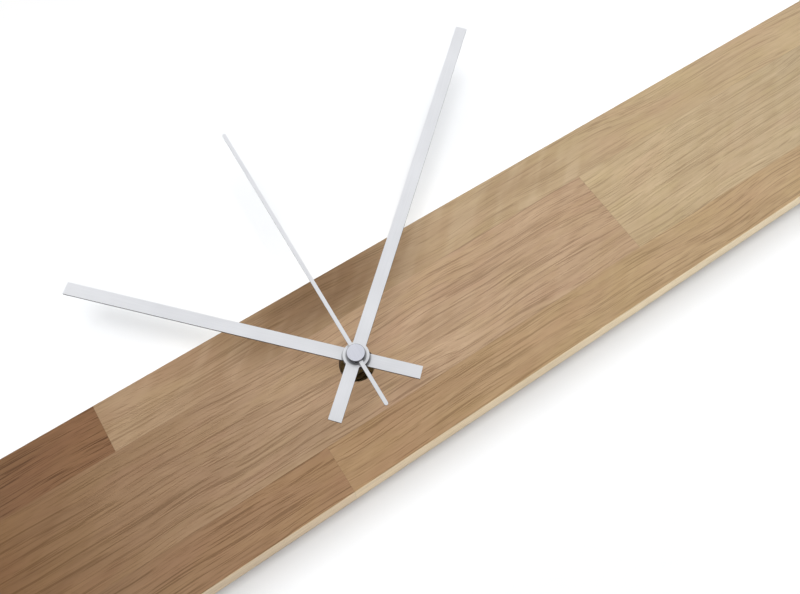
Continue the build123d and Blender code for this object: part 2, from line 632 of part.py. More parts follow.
def minute_work_wheel():
    """Minute-work wheel and pinion, loose on the stud of the cover."""
    wheel = wheel_layer(WORK_TEETH, MINUTE_TO_WORK_MODULE, WORK_AXIS, WORK_PHASE, WORK_LAYER)
    wheel += pinion_layer(
        WORK_PINION_TEETH, WORK_TO_HOUR_MODULE, WORK_AXIS, WORK_PHASE, HOUR_LAYER - PINION_OVERLAP, WORK_LAYER
    )
    bore = disc(STUD_RADIUS + PIVOT_FIT, WORK_AXIS)
    return wheel - layer(bore, HOUR_LAYER - PINION_OVERLAP, WORK_LAYER + WHEEL_THICKNESS)


def intermediate_wheel():
    """Wheel and pinion between the rotor and the second wheel."""
    wheel = wheel_layer(
        INTERMEDIATE_TEETH, ROTOR_TO_INTERMEDIATE_MODULE, INTERMEDIATE_AXIS,
        gap_phase(INTERMEDIATE_TEETH, ROTOR_ANGLE), INTERMEDIATE_LAYER,
    )
    pinion_front = SECOND_LAYER - PINION_OVERLAP
    wheel += pinion_layer(
        INTERMEDIATE_PINION_TEETH, INTERMEDIATE_TO_SECOND_MODULE, INTERMEDIATE_AXIS, INTERMEDIATE_ANGLE + 180,
        pinion_front, INTERMEDIATE_LAYER,
    )
    wheel += layer(disc(PIVOT_RADIUS, INTERMEDIATE_AXIS), PLATE_LAYER, pinion_front)
    return wheel + layer(
        disc(PIVOT_RADIUS, INTERMEDIATE_AXIS), INTERMEDIATE_LAYER + WHEEL_THICKNESS, REAR_WALL_LAYER
    )


def rotor():
    """Rotor arbor with its pinion, and the ring magnet pressed on it."""
    pinion_front = INTERMEDIATE_LAYER - PINION_OVERLAP
    pinion_back = INTERMEDIATE_LAYER + WHEEL_THICKNESS + PINION_OVERLAP
    pinion = pinion_layer(
        ROTOR_PINION_TEETH, ROTOR_TO_INTERMEDIATE_MODULE, ROTOR_AXIS, ROTOR_ANGLE + 180, pinion_front, pinion_back
    )
    pinion += layer(disc(PIVOT_RADIUS, ROTOR_AXIS), PLATE_LAYER, pinion_front)
    pinion += layer(disc(PIVOT_RADIUS, ROTOR_AXIS), pinion_back, REAR_WALL_LAYER)
    magnet = ring(MAGNET_RADIUS, PIVOT_RADIUS + PRESS_GAP, ROTOR_AXIS)
    return {
        "rotor_pinion": pinion,
        "rotor_magnet": layer(magnet, MAGNET_LAYER, MAGNET_LAYER + MAGNET_LENGTH),
    }


def setting_work():
    """Setting pinion on its shaft, and the knob pressed on it at the back."""
    knob_back = CASE_DEPTH - KNOB_SUNK
    knob_front = knob_back - KNOB_THICKNESS
    pinion_front = WORK_LAYER - PINION_OVERLAP
    pinion_back = WORK_LAYER + WHEEL_THICKNESS + PINION_OVERLAP
    pinion = pinion_layer(
        SETTING_PINION_TEETH, MINUTE_TO_WORK_MODULE, SETTING_AXIS,
        gap_phase(SETTING_PINION_TEETH, SETTING_ANGLE + 180), pinion_front, pinion_back,
    )
    pinion += layer(disc(PIVOT_RADIUS, SETTING_AXIS), BLIND_FLOOR + PIVOT_END_GAP, pinion_front)
    pinion += layer(disc(SETTING_SHAFT_RADIUS, SETTING_AXIS), pinion_back, knob_back - KNOB_SLOT_DEPTH)
    outline = disc(KNOB_RADIUS, SETTING_AXIS)
    for grip in range(KNOB_GRIPS):
        outline -= disc(KNOB_GRIP_RADIUS, polar(KNOB_RADIUS, grip * 360 / KNOB_GRIPS, SETTING_AXIS))
    knob = layer(outline, knob_front, knob_back)
    knob -= layer(
        disc(SETTING_SHAFT_RADIUS + PRESS_GAP, SETTING_AXIS), knob_front, knob_back - KNOB_SLOT_DEPTH
    )
    slot = Pos(*SETTING_AXIS) * Rectangle(2 * (KNOB_RADIUS - KNOB_SLOT_WIDTH), KNOB_SLOT_WIDTH)
    knob -= layer(slot, knob_back - KNOB_SLOT_DEPTH, knob_back)
    return {"setting_pinion": pinion, "setting_knob": knob}


# Motor, circuit and cell

def stator_posts():
    """Axes of the two posts of the middle plate that carry the stator."""
    reach = (STATOR_LENGTH - STATOR_ARM_WIDTH) / 2
    return [(ROTOR_AXIS[0] + side * reach, ROTOR_AXIS[1] - STATOR_POST_DROP) for side in (-1, 1)]


def motor():
    """Stator round the rotor, and the coil on its core above."""
    left = ROTOR_AXIS[0] - STATOR_LENGTH / 2
    right = ROTOR_AXIS[0] + STATOR_LENGTH / 2
    middle = ROTOR_AXIS[1]
    arm_top = COIL_CENTRE[1] + CORE_HEIGHT / 2
    stator = box_sketch(left, right, middle - STATOR_HEIGHT / 2, middle + STATOR_HEIGHT / 2)
    stator += box_sketch(left, left + STATOR_ARM_WIDTH, middle, arm_top)
    stator += box_sketch(right - STATOR_ARM_WIDTH, right, middle, arm_top)
    stator -= disc(MAGNET_RADIUS + STATOR_GAP, ROTOR_AXIS)
    core = box_sketch(left, right, arm_top - CORE_HEIGHT, arm_top)
    coil_left = left + STATOR_ARM_WIDTH
    coil_length = STATOR_LENGTH - 2 * STATOR_ARM_WIDTH
    coil_y = depth(CORE_LAYER + STATOR_THICKNESS / 2)
    across = Plane(origin=(coil_left, coil_y, COIL_CENTRE[1]), x_dir=(0, 1, 0), z_dir=(1, 0, 0))
    opening = across * Rectangle(STATOR_THICKNESS + 2 * PRESS_GAP, CORE_HEIGHT + 2 * PRESS_GAP)
    inner_length = coil_length - 2 * BOBBIN_FLANGE_THICKNESS
    bobbin = extrude(across * Circle(BOBBIN_FLANGE_RADIUS), coil_length)
    waist = across.offset(BOBBIN_FLANGE_THICKNESS)
    waist_ring = waist * (Circle(BOBBIN_FLANGE_RADIUS) - Circle(BOBBIN_TUBE_RADIUS))
    winding_ring = waist * (Circle(WINDING_RADIUS) - Circle(BOBBIN_TUBE_RADIUS + PRESS_GAP))
    bobbin -= extrude(waist_ring, inner_length)
    bobbin -= extrude(opening, coil_length)
    return {
        "stator": layer(stator, STATOR_LAYER, STATOR_LAYER + STATOR_THICKNESS),
        "coil_core": layer(core, CORE_LAYER, STATOR_LAYER),
        "coil_bobbin": bobbin,
        "coil_winding": extrude(winding_ring, inner_length),
    }


def circuit():
    """Circuit board on the back of the middle plate, with its chip and crystal can."""
    board_back = PLATE_BACK + BOARD_THICKNESS
    board = box_sketch(BOARD_LEFT, BOARD_LEFT + BOARD_WIDTH, BOARD_BOTTOM_Z, BOARD_BOTTOM_Z + BOARD_HEIGHT)
    centre_x = BOARD_LEFT + BOARD_WIDTH / 2
    chip = layer(disc(CHIP_RADIUS, (centre_x, CHIP_ABOVE_HUB)), board_back, board_back + CHIP_HEIGHT)
    chip = fillet(chip.edges().sort_by(Axis.Y)[-1], CHIP_EDGE_RADIUS)
    can = Pos(centre_x, depth(board_back) + CRYSTAL_RADIUS, CRYSTAL_ABOVE_HUB) * Cylinder(
        CRYSTAL_RADIUS, CRYSTAL_LENGTH
    )
    return {
        "circuit_board": layer(board, PLATE_BACK, board_back),
        "driver_chip": chip,
        "quartz_crystal": can,
    }


def battery_contact(side):
    """Upright contact strip at one end of the bay; its foot reaches over the circuit board."""
    wall = side * INNER_RIGHT
    edges = sorted((wall, wall - side * CONTACT_THICKNESS))
    front = CELL_AXIS_DEPTH - CONTACT_WIDTH / 2
    back = CELL_AXIS_DEPTH + CONTACT_WIDTH / 2
    foot_front = PLATE_BACK + BOARD_THICKNESS
    reach = BOARD_LEFT + (BOARD_WIDTH - POSITIVE_FOOT_LAP if side > 0 else NEGATIVE_FOOT_LENGTH)
    strip = layer(box_sketch(*edges, CELL_AXIS_Z - LEAF_HALF_SPAN, FOOT_TOP_Z), front, back)
    foot = box_sketch(*sorted((wall, reach)), FOOT_TOP_Z - CONTACT_FOOT_WIDTH, FOOT_TOP_Z)
    return strip + layer(foot, foot_front, foot_front + CONTACT_THICKNESS)


def contacts():
    """Plain contact for the cell's nub, and a sprung leaf for its flat end."""
    leaf_tip = -INNER_RIGHT + LEAF_TRAVEL
    plate = -INNER_RIGHT + CONTACT_THICKNESS
    low = CELL_AXIS_Z - LEAF_HALF_SPAN
    high = CELL_AXIS_Z + LEAF_HALF_SPAN
    leaf = make_face(
        Polyline(
            (plate, low),
            (leaf_tip, CELL_AXIS_Z),
            (plate + LEAF_END_GAP + CONTACT_THICKNESS, high),
            (plate + LEAF_END_GAP, high),
            (leaf_tip - CONTACT_THICKNESS, CELL_AXIS_Z),
            (plate, low + 2 * CONTACT_THICKNESS),
            close=True,
        )
    )
    front = CELL_AXIS_DEPTH - CONTACT_WIDTH / 2
    return {
        "positive_contact": battery_contact(1),
        "negative_contact": battery_contact(-1) + layer(leaf, front, front + CONTACT_WIDTH),
    }


def battery_cell():
    """AA cell lying along the bay, nub against the plain contact."""
    nub_end = INNER_RIGHT - CONTACT_THICKNESS
    body_length = CELL_LENGTH - NUB_LENGTH
    start = Plane(
        origin=(nub_end - CELL_LENGTH, depth(CELL_AXIS_DEPTH), CELL_AXIS_Z), x_dir=(0, 1, 0), z_dir=(1, 0, 0)
    )
    body = extrude(start * Circle(CELL_RADIUS), body_length)
    body = fillet(body.edges().filter_by(GeomType.CIRCLE), CELL_RIM_RADIUS)
    return body + extrude(start.offset(body_length) * Circle(NUB_RADIUS), NUB_LENGTH)


# Hands

def hand_plate(tip, tail, angle, bore):
    """Straight bar with a round hub, drawn pointing at its angle clockwise from twelve."""
    bar = Pos(0, (tip - tail) / 2) * Rectangle(HAND_WIDTH, tip + tail)
    return Rot(Z=-angle) * (bar + Circle(HAND_HUB_RADIUS)) - disc(bore)


def hour_hand():
    """Hour hand and the collet under it, on the hour pipe."""
    bore = HOUR_PIPE_RADIUS + PRESS_GAP
    back = HOUR_TOP_Y + HAND_THICKNESS
    plate = hand_plate(HOUR_HAND_TIP, HOUR_HAND_TAIL, HOUR_HAND_ANGLE, bore)
    return {
        "hour_hand": slab(plate, back, HOUR_TOP_Y),
        "hour_hand_collet": slab(ring(HOUR_COLLET_RADIUS, bore), back + HOUR_COLLET_LENGTH, back),
    }


def minute_hand():
    """Minute hand and the collet under it, on the minute pipe."""
    bore = MINUTE_PIPE_RADIUS + PRESS_GAP
    back = MINUTE_TOP_Y + HAND_THICKNESS
    plate = hand_plate(MINUTE_HAND_TIP, MINUTE_HAND_TAIL, MINUTE_HAND_ANGLE, bore)
    return {
        "minute_hand": slab(plate, back, MINUTE_TOP_Y),
        "minute_hand_collet": slab(ring(MINUTE_COLLET_RADIUS, bore), back + MINUTE_COLLET_LENGTH, back),
    }


def second_hand():
    """Thin second hand with a tube under it and a round cap on it."""
    middle = (SECOND_HAND_TIP - SECOND_HAND_TAIL) / 2
    bar = Pos(0, middle) * SlotOverall(SECOND_HAND_TIP + SECOND_HAND_TAIL, SECOND_HAND_WIDTH, rotation=90)
    cap = slab(disc(CAP_RADIUS), CAP_BACK_Y, CAP_BACK_Y - CAP_THICKNESS)
    cap = fillet(cap.edges().sort_by(Axis.Y)[0], CAP_EDGE_RADIUS)
    tube = slab(disc(SECOND_TUBE_RADIUS), SECOND_TUBE_Y, SECOND_BACK_Y)
    tube -= slab(disc(SECOND_ARBOR_RADIUS + PRESS_GAP), SECOND_TUBE_Y, SECOND_BACK_Y + SECOND_TUBE_ROOF)
    return {
        "second_hand": slab(Rot(Z=-SECOND_HAND_ANGLE) * bar, SECOND_BACK_Y, CAP_BACK_Y),
        "second_hand_tube": tube,
        "second_hand_cap": cap,
    }


def all_pieces():
    """Every piece of the clock by the name of its node."""
    return {
        **staves(),
        **hangers(),
        "movement_front_cover": front_cover(),
        "movement_rear_case": rear_case(),
        "middle_plate": middle_plate(),
        "threaded_bush": threaded_bush(),
        **bush_fixing(),
        "hour_wheel": hour_wheel(),
        "minute_wheel": minute_wheel(),
        "second_wheel": second_wheel(),
        "third_wheel": third_wheel(),
        "minute_work_wheel": minute_work_wheel(),
        "intermediate_wheel": intermediate_wheel(),
        **rotor(),
        **setting_work(),
        **motor(),
        **circuit(),
        **contacts(),
        "battery_cell": battery_cell(),
        **hour_hand(),
        **minute_hand(),
        **second_hand(),
    }


os.makedirs("parts", exist_ok=True)
for node, solid in all_pieces().items():
    export_step(solid, f"parts/{node}.step")
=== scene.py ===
"""Looks of a long oak wall clock: oiled staves, satin aluminium hands and a quartz movement at the back."""

import logging
from collections.abc import Iterable
from dataclasses import dataclass, replace
from enum import Enum
from math import cos, pi, radians, sin

import bmesh
import bpy
from mathutils import Matrix, Vector

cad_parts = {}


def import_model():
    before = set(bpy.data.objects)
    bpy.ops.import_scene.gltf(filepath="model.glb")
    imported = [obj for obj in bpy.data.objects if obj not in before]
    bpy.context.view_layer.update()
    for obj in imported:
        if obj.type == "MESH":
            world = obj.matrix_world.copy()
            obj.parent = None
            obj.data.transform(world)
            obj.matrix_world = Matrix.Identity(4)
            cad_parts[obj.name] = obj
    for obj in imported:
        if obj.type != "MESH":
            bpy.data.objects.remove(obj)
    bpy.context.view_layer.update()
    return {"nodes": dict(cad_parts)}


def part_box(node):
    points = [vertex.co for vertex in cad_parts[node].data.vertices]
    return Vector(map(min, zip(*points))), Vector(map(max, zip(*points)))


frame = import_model()

LOG = logging.getLogger("oak_clock")
MM = 0.001
FAR = 1000.0

Pair = tuple[float, float]
Triple = tuple[float, float, float]
Rgb = Triple
Step = tuple[float, float, float, float]
Socket = bpy.types.NodeSocket
Tree = bpy.types.NodeTree
Feed = float | Triple | Socket


# Node drawing

class SocketKind(Enum):
    """Kinds of socket on the edge of a node group."""

    VALUE = "NodeSocketFloat"
    VECTOR = "NodeSocketVector"
    COLOUR = "NodeSocketColor"


VALUE, VECTOR, COLOUR = SocketKind


class NodeSheet:
    """A node tree under construction, with short calls that add nodes and join them."""

    def __init__(self, tree: Tree) -> None:
        """Start on the empty tree of a material, a world or a group."""
        self.tree = tree
        tree.nodes.clear()

    @classmethod
    def group(cls, name: str, inputs: dict[str, SocketKind], outputs: dict[str, SocketKind]) -> "NodeSheet":
        """Start a new shader node group.

        Args:
            name: Name of the group.
            inputs: Kind of each input socket by its label.
            outputs: Kind of each output socket by its label.

        Returns:
            A sheet on the group's tree, with its entry and exit nodes in place.
        """
        tree = bpy.data.node_groups.new(name, "ShaderNodeTree")
        for side, sockets in (("INPUT", inputs), ("OUTPUT", outputs)):
            for label, kind in sockets.items():
                tree.interface.new_socket(label, in_out=side, socket_type=kind.value)
        sheet = cls(tree)
        sheet.entry = sheet.add("NodeGroupInput").outputs
        sheet.exit = sheet.add("NodeGroupOutput").inputs
        return sheet

    def feed(self, socket: Socket, value: Feed) -> None:
        """Join a socket to another, or set its own value.

        Args:
            socket: The input socket.
            value: An output socket, a number, a vector or a colour.
        """
        if isinstance(value, Socket):
            self.tree.links.new(value, socket)
        elif socket.type == "RGBA":
            socket.default_value = (*value, 1.0)
        else:
            socket.default_value = value

    def add(
        self, kind: str, feeds: dict[int | str, Feed] | None = None, **settings: object
    ) -> bpy.types.Node:
        """Add one node.

        Args:
            kind: Blender's name of the node type.
            feeds: What goes into its input sockets, by label or number.
            settings: Properties of the node itself.

        Returns:
            The new node.
        """
        node = self.tree.nodes.new(kind)
        for name, value in settings.items():
            setattr(node, name, value)
        for key, value in (feeds or {}).items():
            self.feed(node.inputs[key], value)
        return node

    def end(self, **results: Feed) -> Tree:
        """Put the results out of a group.

        Args:
            results: What goes into each output, by its label.

        Returns:
            The group's tree.
        """
        for label, result in results.items():
            self.feed(self.exit[label], result)
        return self.tree

    def math(self, operation: str, first: Feed, second: Feed = 0.0, clamp: bool = False) -> Socket:
        """One sum on one or two numbers, by Blender's name of the operation."""
        feeds = {0: first, 1: second}
        return self.add("ShaderNodeMath", feeds, operation=operation, use_clamp=clamp).outputs[0]

    def plus(self, first: Feed, second: Feed) -> Socket:
        """The sum of two numbers."""
        return self.math("ADD", first, second)

    def minus(self, first: Feed, second: Feed) -> Socket:
        """The difference of two numbers."""
        return self.math("SUBTRACT", first, second)

    def times(self, first: Feed, second: Feed) -> Socket:
        """The product of two numbers."""
        return self.math("MULTIPLY", first, second)

    def over(self, first: Feed, second: Feed) -> Socket:
        """The ratio of two numbers."""
        return self.math("DIVIDE", first, second)

    def larger(self, first: Feed, second: Feed) -> Socket:
        """The larger of two numbers."""
        return self.math("MAXIMUM", first, second)

    def swing(self, noise: Feed, size: float) -> Socket:
        """Noise around a half turned into a swing to both sides of zero."""
        return self.times(self.minus(noise, 1 / 2), size)

    def vector(self, operation: str, first: Feed, second: Feed) -> Socket:
        """One sum on two vectors, by Blender's name of the operation."""
        return self.add("ShaderNodeVectorMath", {0: first, 1: second}, operation=operation).outputs[0]

    def scale(self, vector: Feed, factor: Feed) -> Socket:
        """A vector made longer or shorter."""
        return self.add("ShaderNodeVectorMath", {0: vector, 3: factor}, operation="SCALE").outputs[0]

    def length(self, vector: Feed) -> Socket:
        """The length of a vector."""
        return self.add("ShaderNodeVectorMath", {0: vector}, operation="LENGTH").outputs["Value"]

    def dot(self, first: Feed, second: Feed) -> Socket:
        """The scalar product of two vectors."""
        node = self.add("ShaderNodeVectorMath", {0: first, 1: second}, operation="DOT_PRODUCT")
        return node.outputs["Value"]

    def from_axis(self, place: Feed) -> Socket:
        """The distance of a place from the hand axis."""
        return self.length(self.vector("MULTIPLY", place, (1.0, 0.0, 1.0)))

    def split(self, vector: Feed) -> tuple[Socket, ...]:
        """The X, Y and Z sockets of a vector."""
        return tuple(self.add("ShaderNodeSeparateXYZ", {0: vector}).outputs)

    def join(self, x: Feed, y: Feed, z: Feed) -> Socket:
        """A vector from three numbers."""
        return self.add("ShaderNodeCombineXYZ", {0: x, 1: y, 2: z}).outputs[0]

    def noise(self, place: Feed, detail: float = 2.0, roughness: float = 0.5) -> Socket:
        """Soft noise around a half, with one cell to a unit of its place."""
        feeds = {"Vector": place, "Scale": 1.0, "Detail": detail, "Roughness": roughness}
        return self.add("ShaderNodeTexNoise", feeds).outputs[0]

    def ramp(self, value: Feed, low: Feed, high: Feed, start: Feed = 0.0, end: Feed = 1.0) -> Socket:
        """A smooth step from start to end, while the value goes from low to high."""
        feeds = {0: value, 1: low, 2: high, 3: start, 4: end}
        return self.add("ShaderNodeMapRange", feeds, interpolation_type="SMOOTHSTEP").outputs[0]

    def blend(self, factor: Feed, first: Feed, second: Feed, mode: str = "MIX") -> Socket:
        """Mix two colours by the share of the second, in one of Blender's modes."""
        feeds = {0: factor, 6: first, 7: second}
        return self.add("ShaderNodeMix", feeds, data_type="RGBA", blend_type=mode).outputs[2]

    def place_mm(self) -> Socket:
        """The place on the piece in millimetres of the clock's own frame."""
        place = self.add("ShaderNodeTexCoord").outputs["Object"]
        return self.vector("MULTIPLY", place, (1 / MM, 1 / MM, 1 / MM))

    def normal(self) -> tuple[Socket, ...]:
        """The X, Y and Z sockets of the surface's direction in the clock's own frame."""
        return self.split(self.add("ShaderNodeTexCoord").outputs["Normal"])

    def use(self, effect: str, feeds: dict[str, Feed]) -> bpy.types.bpy_prop_collection:
        """Place one of the shared effects, and give its output sockets."""
        return self.add("ShaderNodeGroup", feeds, node_tree=Effects.get(effect)).outputs

    def surface(self, feeds: dict[str, Feed], height: Feed, relief: float, strength: float) -> None:
        """Finish a material with one Principled shader.

        Args:
            feeds: What goes into the shader's sockets.
            height: Height of the surface's fine relief.
            relief: How far that height reaches, in millimetres.
            strength: How much of the relief shows.
        """
        shader = self.add("ShaderNodeBsdfPrincipled", feeds)
        bump = self.add("ShaderNodeBump", {"Height": height, "Distance": relief * MM, "Strength": strength})
        self.feed(shader.inputs["Normal"], bump.outputs[0])
        self.add("ShaderNodeOutputMaterial", {"Surface": shader.outputs[0]})


def new_material(name: str) -> tuple[bpy.types.Material, NodeSheet]:
    """Make an empty material.

    Args:
        name: Name of the material.

    Returns:
        The material, and a sheet on its node tree.
    """
    material = bpy.data.materials.new(name)
    material.use_nodes = True
    return material, NodeSheet(material.node_tree)


@dataclass(frozen=True)
class Streak:
    """Noise drawn out along the grain, with its length and width in millimetres."""

    length: float
    width: float
    detail: float = 2.0
    roughness: float = 0.5


@dataclass(frozen=True)
class OakGrain:
    """Solid oak that can be cut anywhere; sizes in millimetres, steps as low, high, start and end."""

    wave_size: Triple = (62.0, 40.0, 24.0)
    wave_swing: float = 7.0
    wave_depth: float = 0.3
    wander: Streak = Streak(130.0, 30.0)
    wander_swing: float = 6.0
    late_rise: Pair = (0.2, 0.85)
    late_fall: Step = (0.9, 1.0, 1.0, 0.0)
    late_share: float = 0.2
    row_step: Step = (0.10, 0.34, 1.0, 0.0)
    fibre: Streak = Streak(34.0, 1.0, 4.0, 0.65)
    fibre_swing: float = 1.5
    clouds: tuple[tuple[Streak, float], ...] = ((Streak(26.0, 3.2), 0.8), (Streak(60.0, 15.0), 1.1))
    tone_start: float = 0.4
    flush: Streak = Streak(40.0, 11.0)
    flush_step: Step = (0.46, 0.70, 0.0, 0.60)
    gold: Streak = Streak(28.0, 8.0)
    gold_step: Step = (0.46, 0.70, 0.0, 0.38)
    ray_sway: Streak = Streak(40.0, 16.0)
    ray_swing: float = 7.0
    ray_size: Triple = (30.0, 5.6, 300.0)
    ray_step: Pair = (0.32, 0.68)
    ray_zone: Streak = Streak(60.0, 70.0, 1.0)
    ray_zone_step: Pair = (0.16, 0.38)
    ray_fade: Step = (-30.0, 0.0, 1.0, 0.0)
    ray_gap: float = 0.35
    long_pore: Streak = Streak(34.0, 0.45, 1.5)
    long_pore_row: float = 0.10
    long_pore_step: Pair = (0.59, 0.67)
    fine_pore: Streak = Streak(11.0, 0.33)
    fine_pore_row: float = 0.05
    fine_pore_step: Pair = (0.55, 0.69)
    fine_pore_share: float = 0.58
    # Darker patch near the hub: partly the wood's own tone, partly painted shade of the hands above it.
    stain_and_shade_size: Triple = (46.0, 60.0, 17.0)
    stain_and_shade_swing: float = 0.9
    stain_and_shade_step: Step = (0.25, 1.25, 1.0, 0.0)
    stain_and_shade_tint: Rgb = (0.54, 0.465, 0.39)
    side_step: Step = (0.5, 0.9, 0.0, 0.74)
    side_tinted: float = 0.35
    side_pores: float = 0.5
    side_streaks: Step = (-0.4, 1.0, 1.08, 0.78)
    # Painted shade on the back arris, which faces the wall.
    rear_shade_rise: Pair = (0.15, 0.5)
    rear_shade_fall: Step = (0.8, 0.95, 1.0, 0.0)
    rear_shade_tint: Rgb = (0.34, 0.34, 0.36)
    arris_step: Step = (0.1, 0.5, 0.75, 0.0)
    arris_facing: Step = (-0.8, -0.4, 1.0, 0.0)
    arris_tint: Rgb = (0.42, 0.40, 0.39)
    end_step: Step = (0.5, 0.9, 0.0, 0.55)
    end_tint: Rgb = (0.60, 0.54, 0.48)
    # Painted shade inside the counterbore, in the joint colour.
    bore_shade_step: Step = (0.1, 0.3, 0.66, 0.0)
    bore_shade_mouth: Pair = (-21.9, -21.5)
    glue_step: Step = (0.05, 0.3, 0.1, 0.0)
    pore_roughness: Step = (0.0, 1.0, 0.50, 0.66)
    ray_roughness: Step = (0.0, 1.0, 0.0, -0.08)
    fibre_height: float = 0.25
    pore_height: float = -0.75

    @staticmethod
    def inputs() -> dict[str, SocketKind]:
        """Kind of each input of the group by its label.

        Returns:
            The kinds.
        """
        labels = {
            VECTOR: "Seed, Heart, Lean, Ray Along, Ray Across, Stain Place, Joint Low, Joint High",
            VALUE: "Ring Width, Left, Right, Pore Share, Ray Share, Ray End, Stain, Bore, Top",
            COLOUR: "Early, Late, Pore, Flush, Gold, Ray, Left Tint, Right Tint, Glue, Bare",
        }
        return {label: kind for kind, row in labels.items() for label in row.split(", ")}

    def draw(self) -> Tree:
        """Draw the node group: growth rings, fibres, pores, ray flecks, cut faces and glue lines.

        Returns:
            The group's tree.
        """
        outputs = {"Color": COLOUR, "Roughness": VALUE, "Height": VALUE}
        sheet = NodeSheet.group("oak_grain", self.inputs(), outputs)
        entry = sheet.entry
        place = sheet.place_mm()
        along, depth, height = sheet.split(place)
        leaned = sheet.vector("ADD", place, sheet.scale(entry["Lean"], along))
        wave_scale = tuple(1 / size for size in self.wave_size)
        wave_place = sheet.vector("MULTIPLY", sheet.vector("ADD", leaned, entry["Seed"]), wave_scale)
        wave = sheet.swing(sheet.noise(wave_place, detail=1.0), self.wave_swing)
        straight = sheet.vector("ADD", leaned, sheet.join(0.0, sheet.times(wave, self.wave_depth), wave))
        seeded = sheet.vector("ADD", straight, entry["Seed"])

        def streaks(streak: Streak) -> Socket:
            """Noise drawn out along the grain."""
            stretch = (1 / streak.length, 1 / streak.width, 1 / streak.width)
            return sheet.noise(sheet.vector("MULTIPLY", seeded, stretch), streak.detail, streak.roughness)

        from_heart = sheet.vector("SUBTRACT", straight, entry["Heart"])
        reach = sheet.length(sheet.vector("MULTIPLY", from_heart, (0.0, 1.0, 1.0)))
        wander = sheet.swing(streaks(self.wander), self.wander_swing)
        season = sheet.math("FRACT", sheet.over(sheet.plus(reach, wander), entry["Ring Width"]))
        late = sheet.times(sheet.ramp(season, *self.late_rise), sheet.ramp(season, *self.late_fall))
        pore_row = sheet.ramp(season, *self.row_step)

        fibre = streaks(self.fibre)
        tone = sheet.plus(sheet.times(late, self.late_share), sheet.swing(fibre, self.fibre_swing))
        for streak, size in self.clouds:
            tone = sheet.plus(tone, sheet.swing(streaks(streak), size))
        share = sheet.math("ADD", tone, self.tone_start, clamp=True)
        wood = sheet.blend(share, entry["Early"], entry["Late"])
        wood = sheet.blend(sheet.ramp(streaks(self.flush), *self.flush_step), wood, entry["Flush"])
        wood = sheet.blend(sheet.ramp(streaks(self.gold), *self.gold_step), wood, entry["Gold"])

        run = sheet.dot(place, entry["Ray Along"])
        sway = sheet.swing(streaks(self.ray_sway), self.ray_swing)
        across = sheet.plus(sheet.dot(place, entry["Ray Across"]), sway)
        cells = (sheet.over(part, size) for part, size in zip((run, across, along), self.ray_size))
        bands = sheet.ramp(sheet.noise(sheet.join(*cells), detail=1.0), *self.ray_step)
        before_end = sheet.ramp(sheet.minus(along, entry["Ray End"]), *self.ray_fade)
        zone = sheet.times(sheet.ramp(streaks(self.ray_zone), *self.ray_zone_step), before_end)
        ray = sheet.times(sheet.times(bands, zone), entry["Ray Share"])
        wood = sheet.blend(ray, wood, entry["Ray"])
        gap = sheet.times(sheet.minus(1.0, bands), sheet.times(zone, entry["Ray Share"]))
        wood = sheet.blend(sheet.times(gap, self.ray_gap), wood, entry["Late"])

        long_pores = sheet.plus(streaks(self.long_pore), sheet.times(pore_row, self.long_pore_row))
        long_pores = sheet.ramp(long_pores, *self.long_pore_step)
        fine_pores = sheet.plus(streaks(self.fine_pore), sheet.times(pore_row, self.fine_pore_row))
        fine_pores = sheet.ramp(fine_pores, *self.fine_pore_step)
        pores = sheet.larger(sheet.times(fine_pores, self.fine_pore_share), long_pores)
        wood = sheet.blend(sheet.times(pores, entry["Pore Share"]), wood, entry["Pore"])

        # Colour drift along the stave: partly its own tone, partly painted light that falls off towards the
        # plank's left end.
        drift = sheet.ramp(along, entry["Left"], entry["Right"])
        tone_and_light = sheet.blend(drift, entry["Left Tint"], entry["Right Tint"])
        wood = sheet.blend(1.0, wood, tone_and_light, "MULTIPLY")
        # Darker patch near the hub: partly the wood's own tone, partly painted shade of the hands above it.
        off_stain_and_shade = sheet.vector("SUBTRACT", place, entry["Stain Place"])
        far = sheet.length(sheet.vector("DIVIDE", off_stain_and_shade, self.stain_and_shade_size))
        stain = sheet.ramp(sheet.plus(far, sheet.swing(fibre, self.stain_and_shade_swing)), *self.stain_and_shade_step)
        wood = sheet.blend(sheet.times(stain, entry["Stain"]), wood, self.stain_and_shade_tint, "MULTIPLY")

        normal = sheet.normal()
        side = sheet.ramp(sheet.math("ABSOLUTE", normal[2]), *self.side_step)
        bare = sheet.blend(self.side_tinted, entry["Bare"], tone_and_light, "MULTIPLY")
        streaked = sheet.ramp(sheet.plus(tone, sheet.times(pores, self.side_pores)), *self.side_streaks)
        bare = sheet.blend(1.0, bare, sheet.join(streaked, streaked, streaked), "MULTIPLY")
        wood = sheet.blend(side, wood, bare)
        # Painted shade on arrises that face the wall.
        rear_shade = sheet.times(sheet.ramp(normal[1], *self.rear_shade_rise), sheet.ramp(normal[1], *self.rear_shade_fall))
        wood = sheet.blend(rear_shade, wood, self.rear_shade_tint, "MULTIPLY")
        below_top = sheet.ramp(sheet.minus(entry["Top"], height), *self.arris_step)
        arris = sheet.times(below_top, sheet.ramp(normal[1], *self.arris_facing))
        wood = sheet.blend(arris, wood, self.arris_tint, "MULTIPLY")
        cut_end = sheet.ramp(sheet.math("ABSOLUTE", normal[0]), *self.end_step)
        wood = sheet.blend(cut_end, wood, self.end_tint, "MULTIPLY")
        wood = sheet.blend(sheet.times(cut_end, pore_row), wood, entry["Pore"])

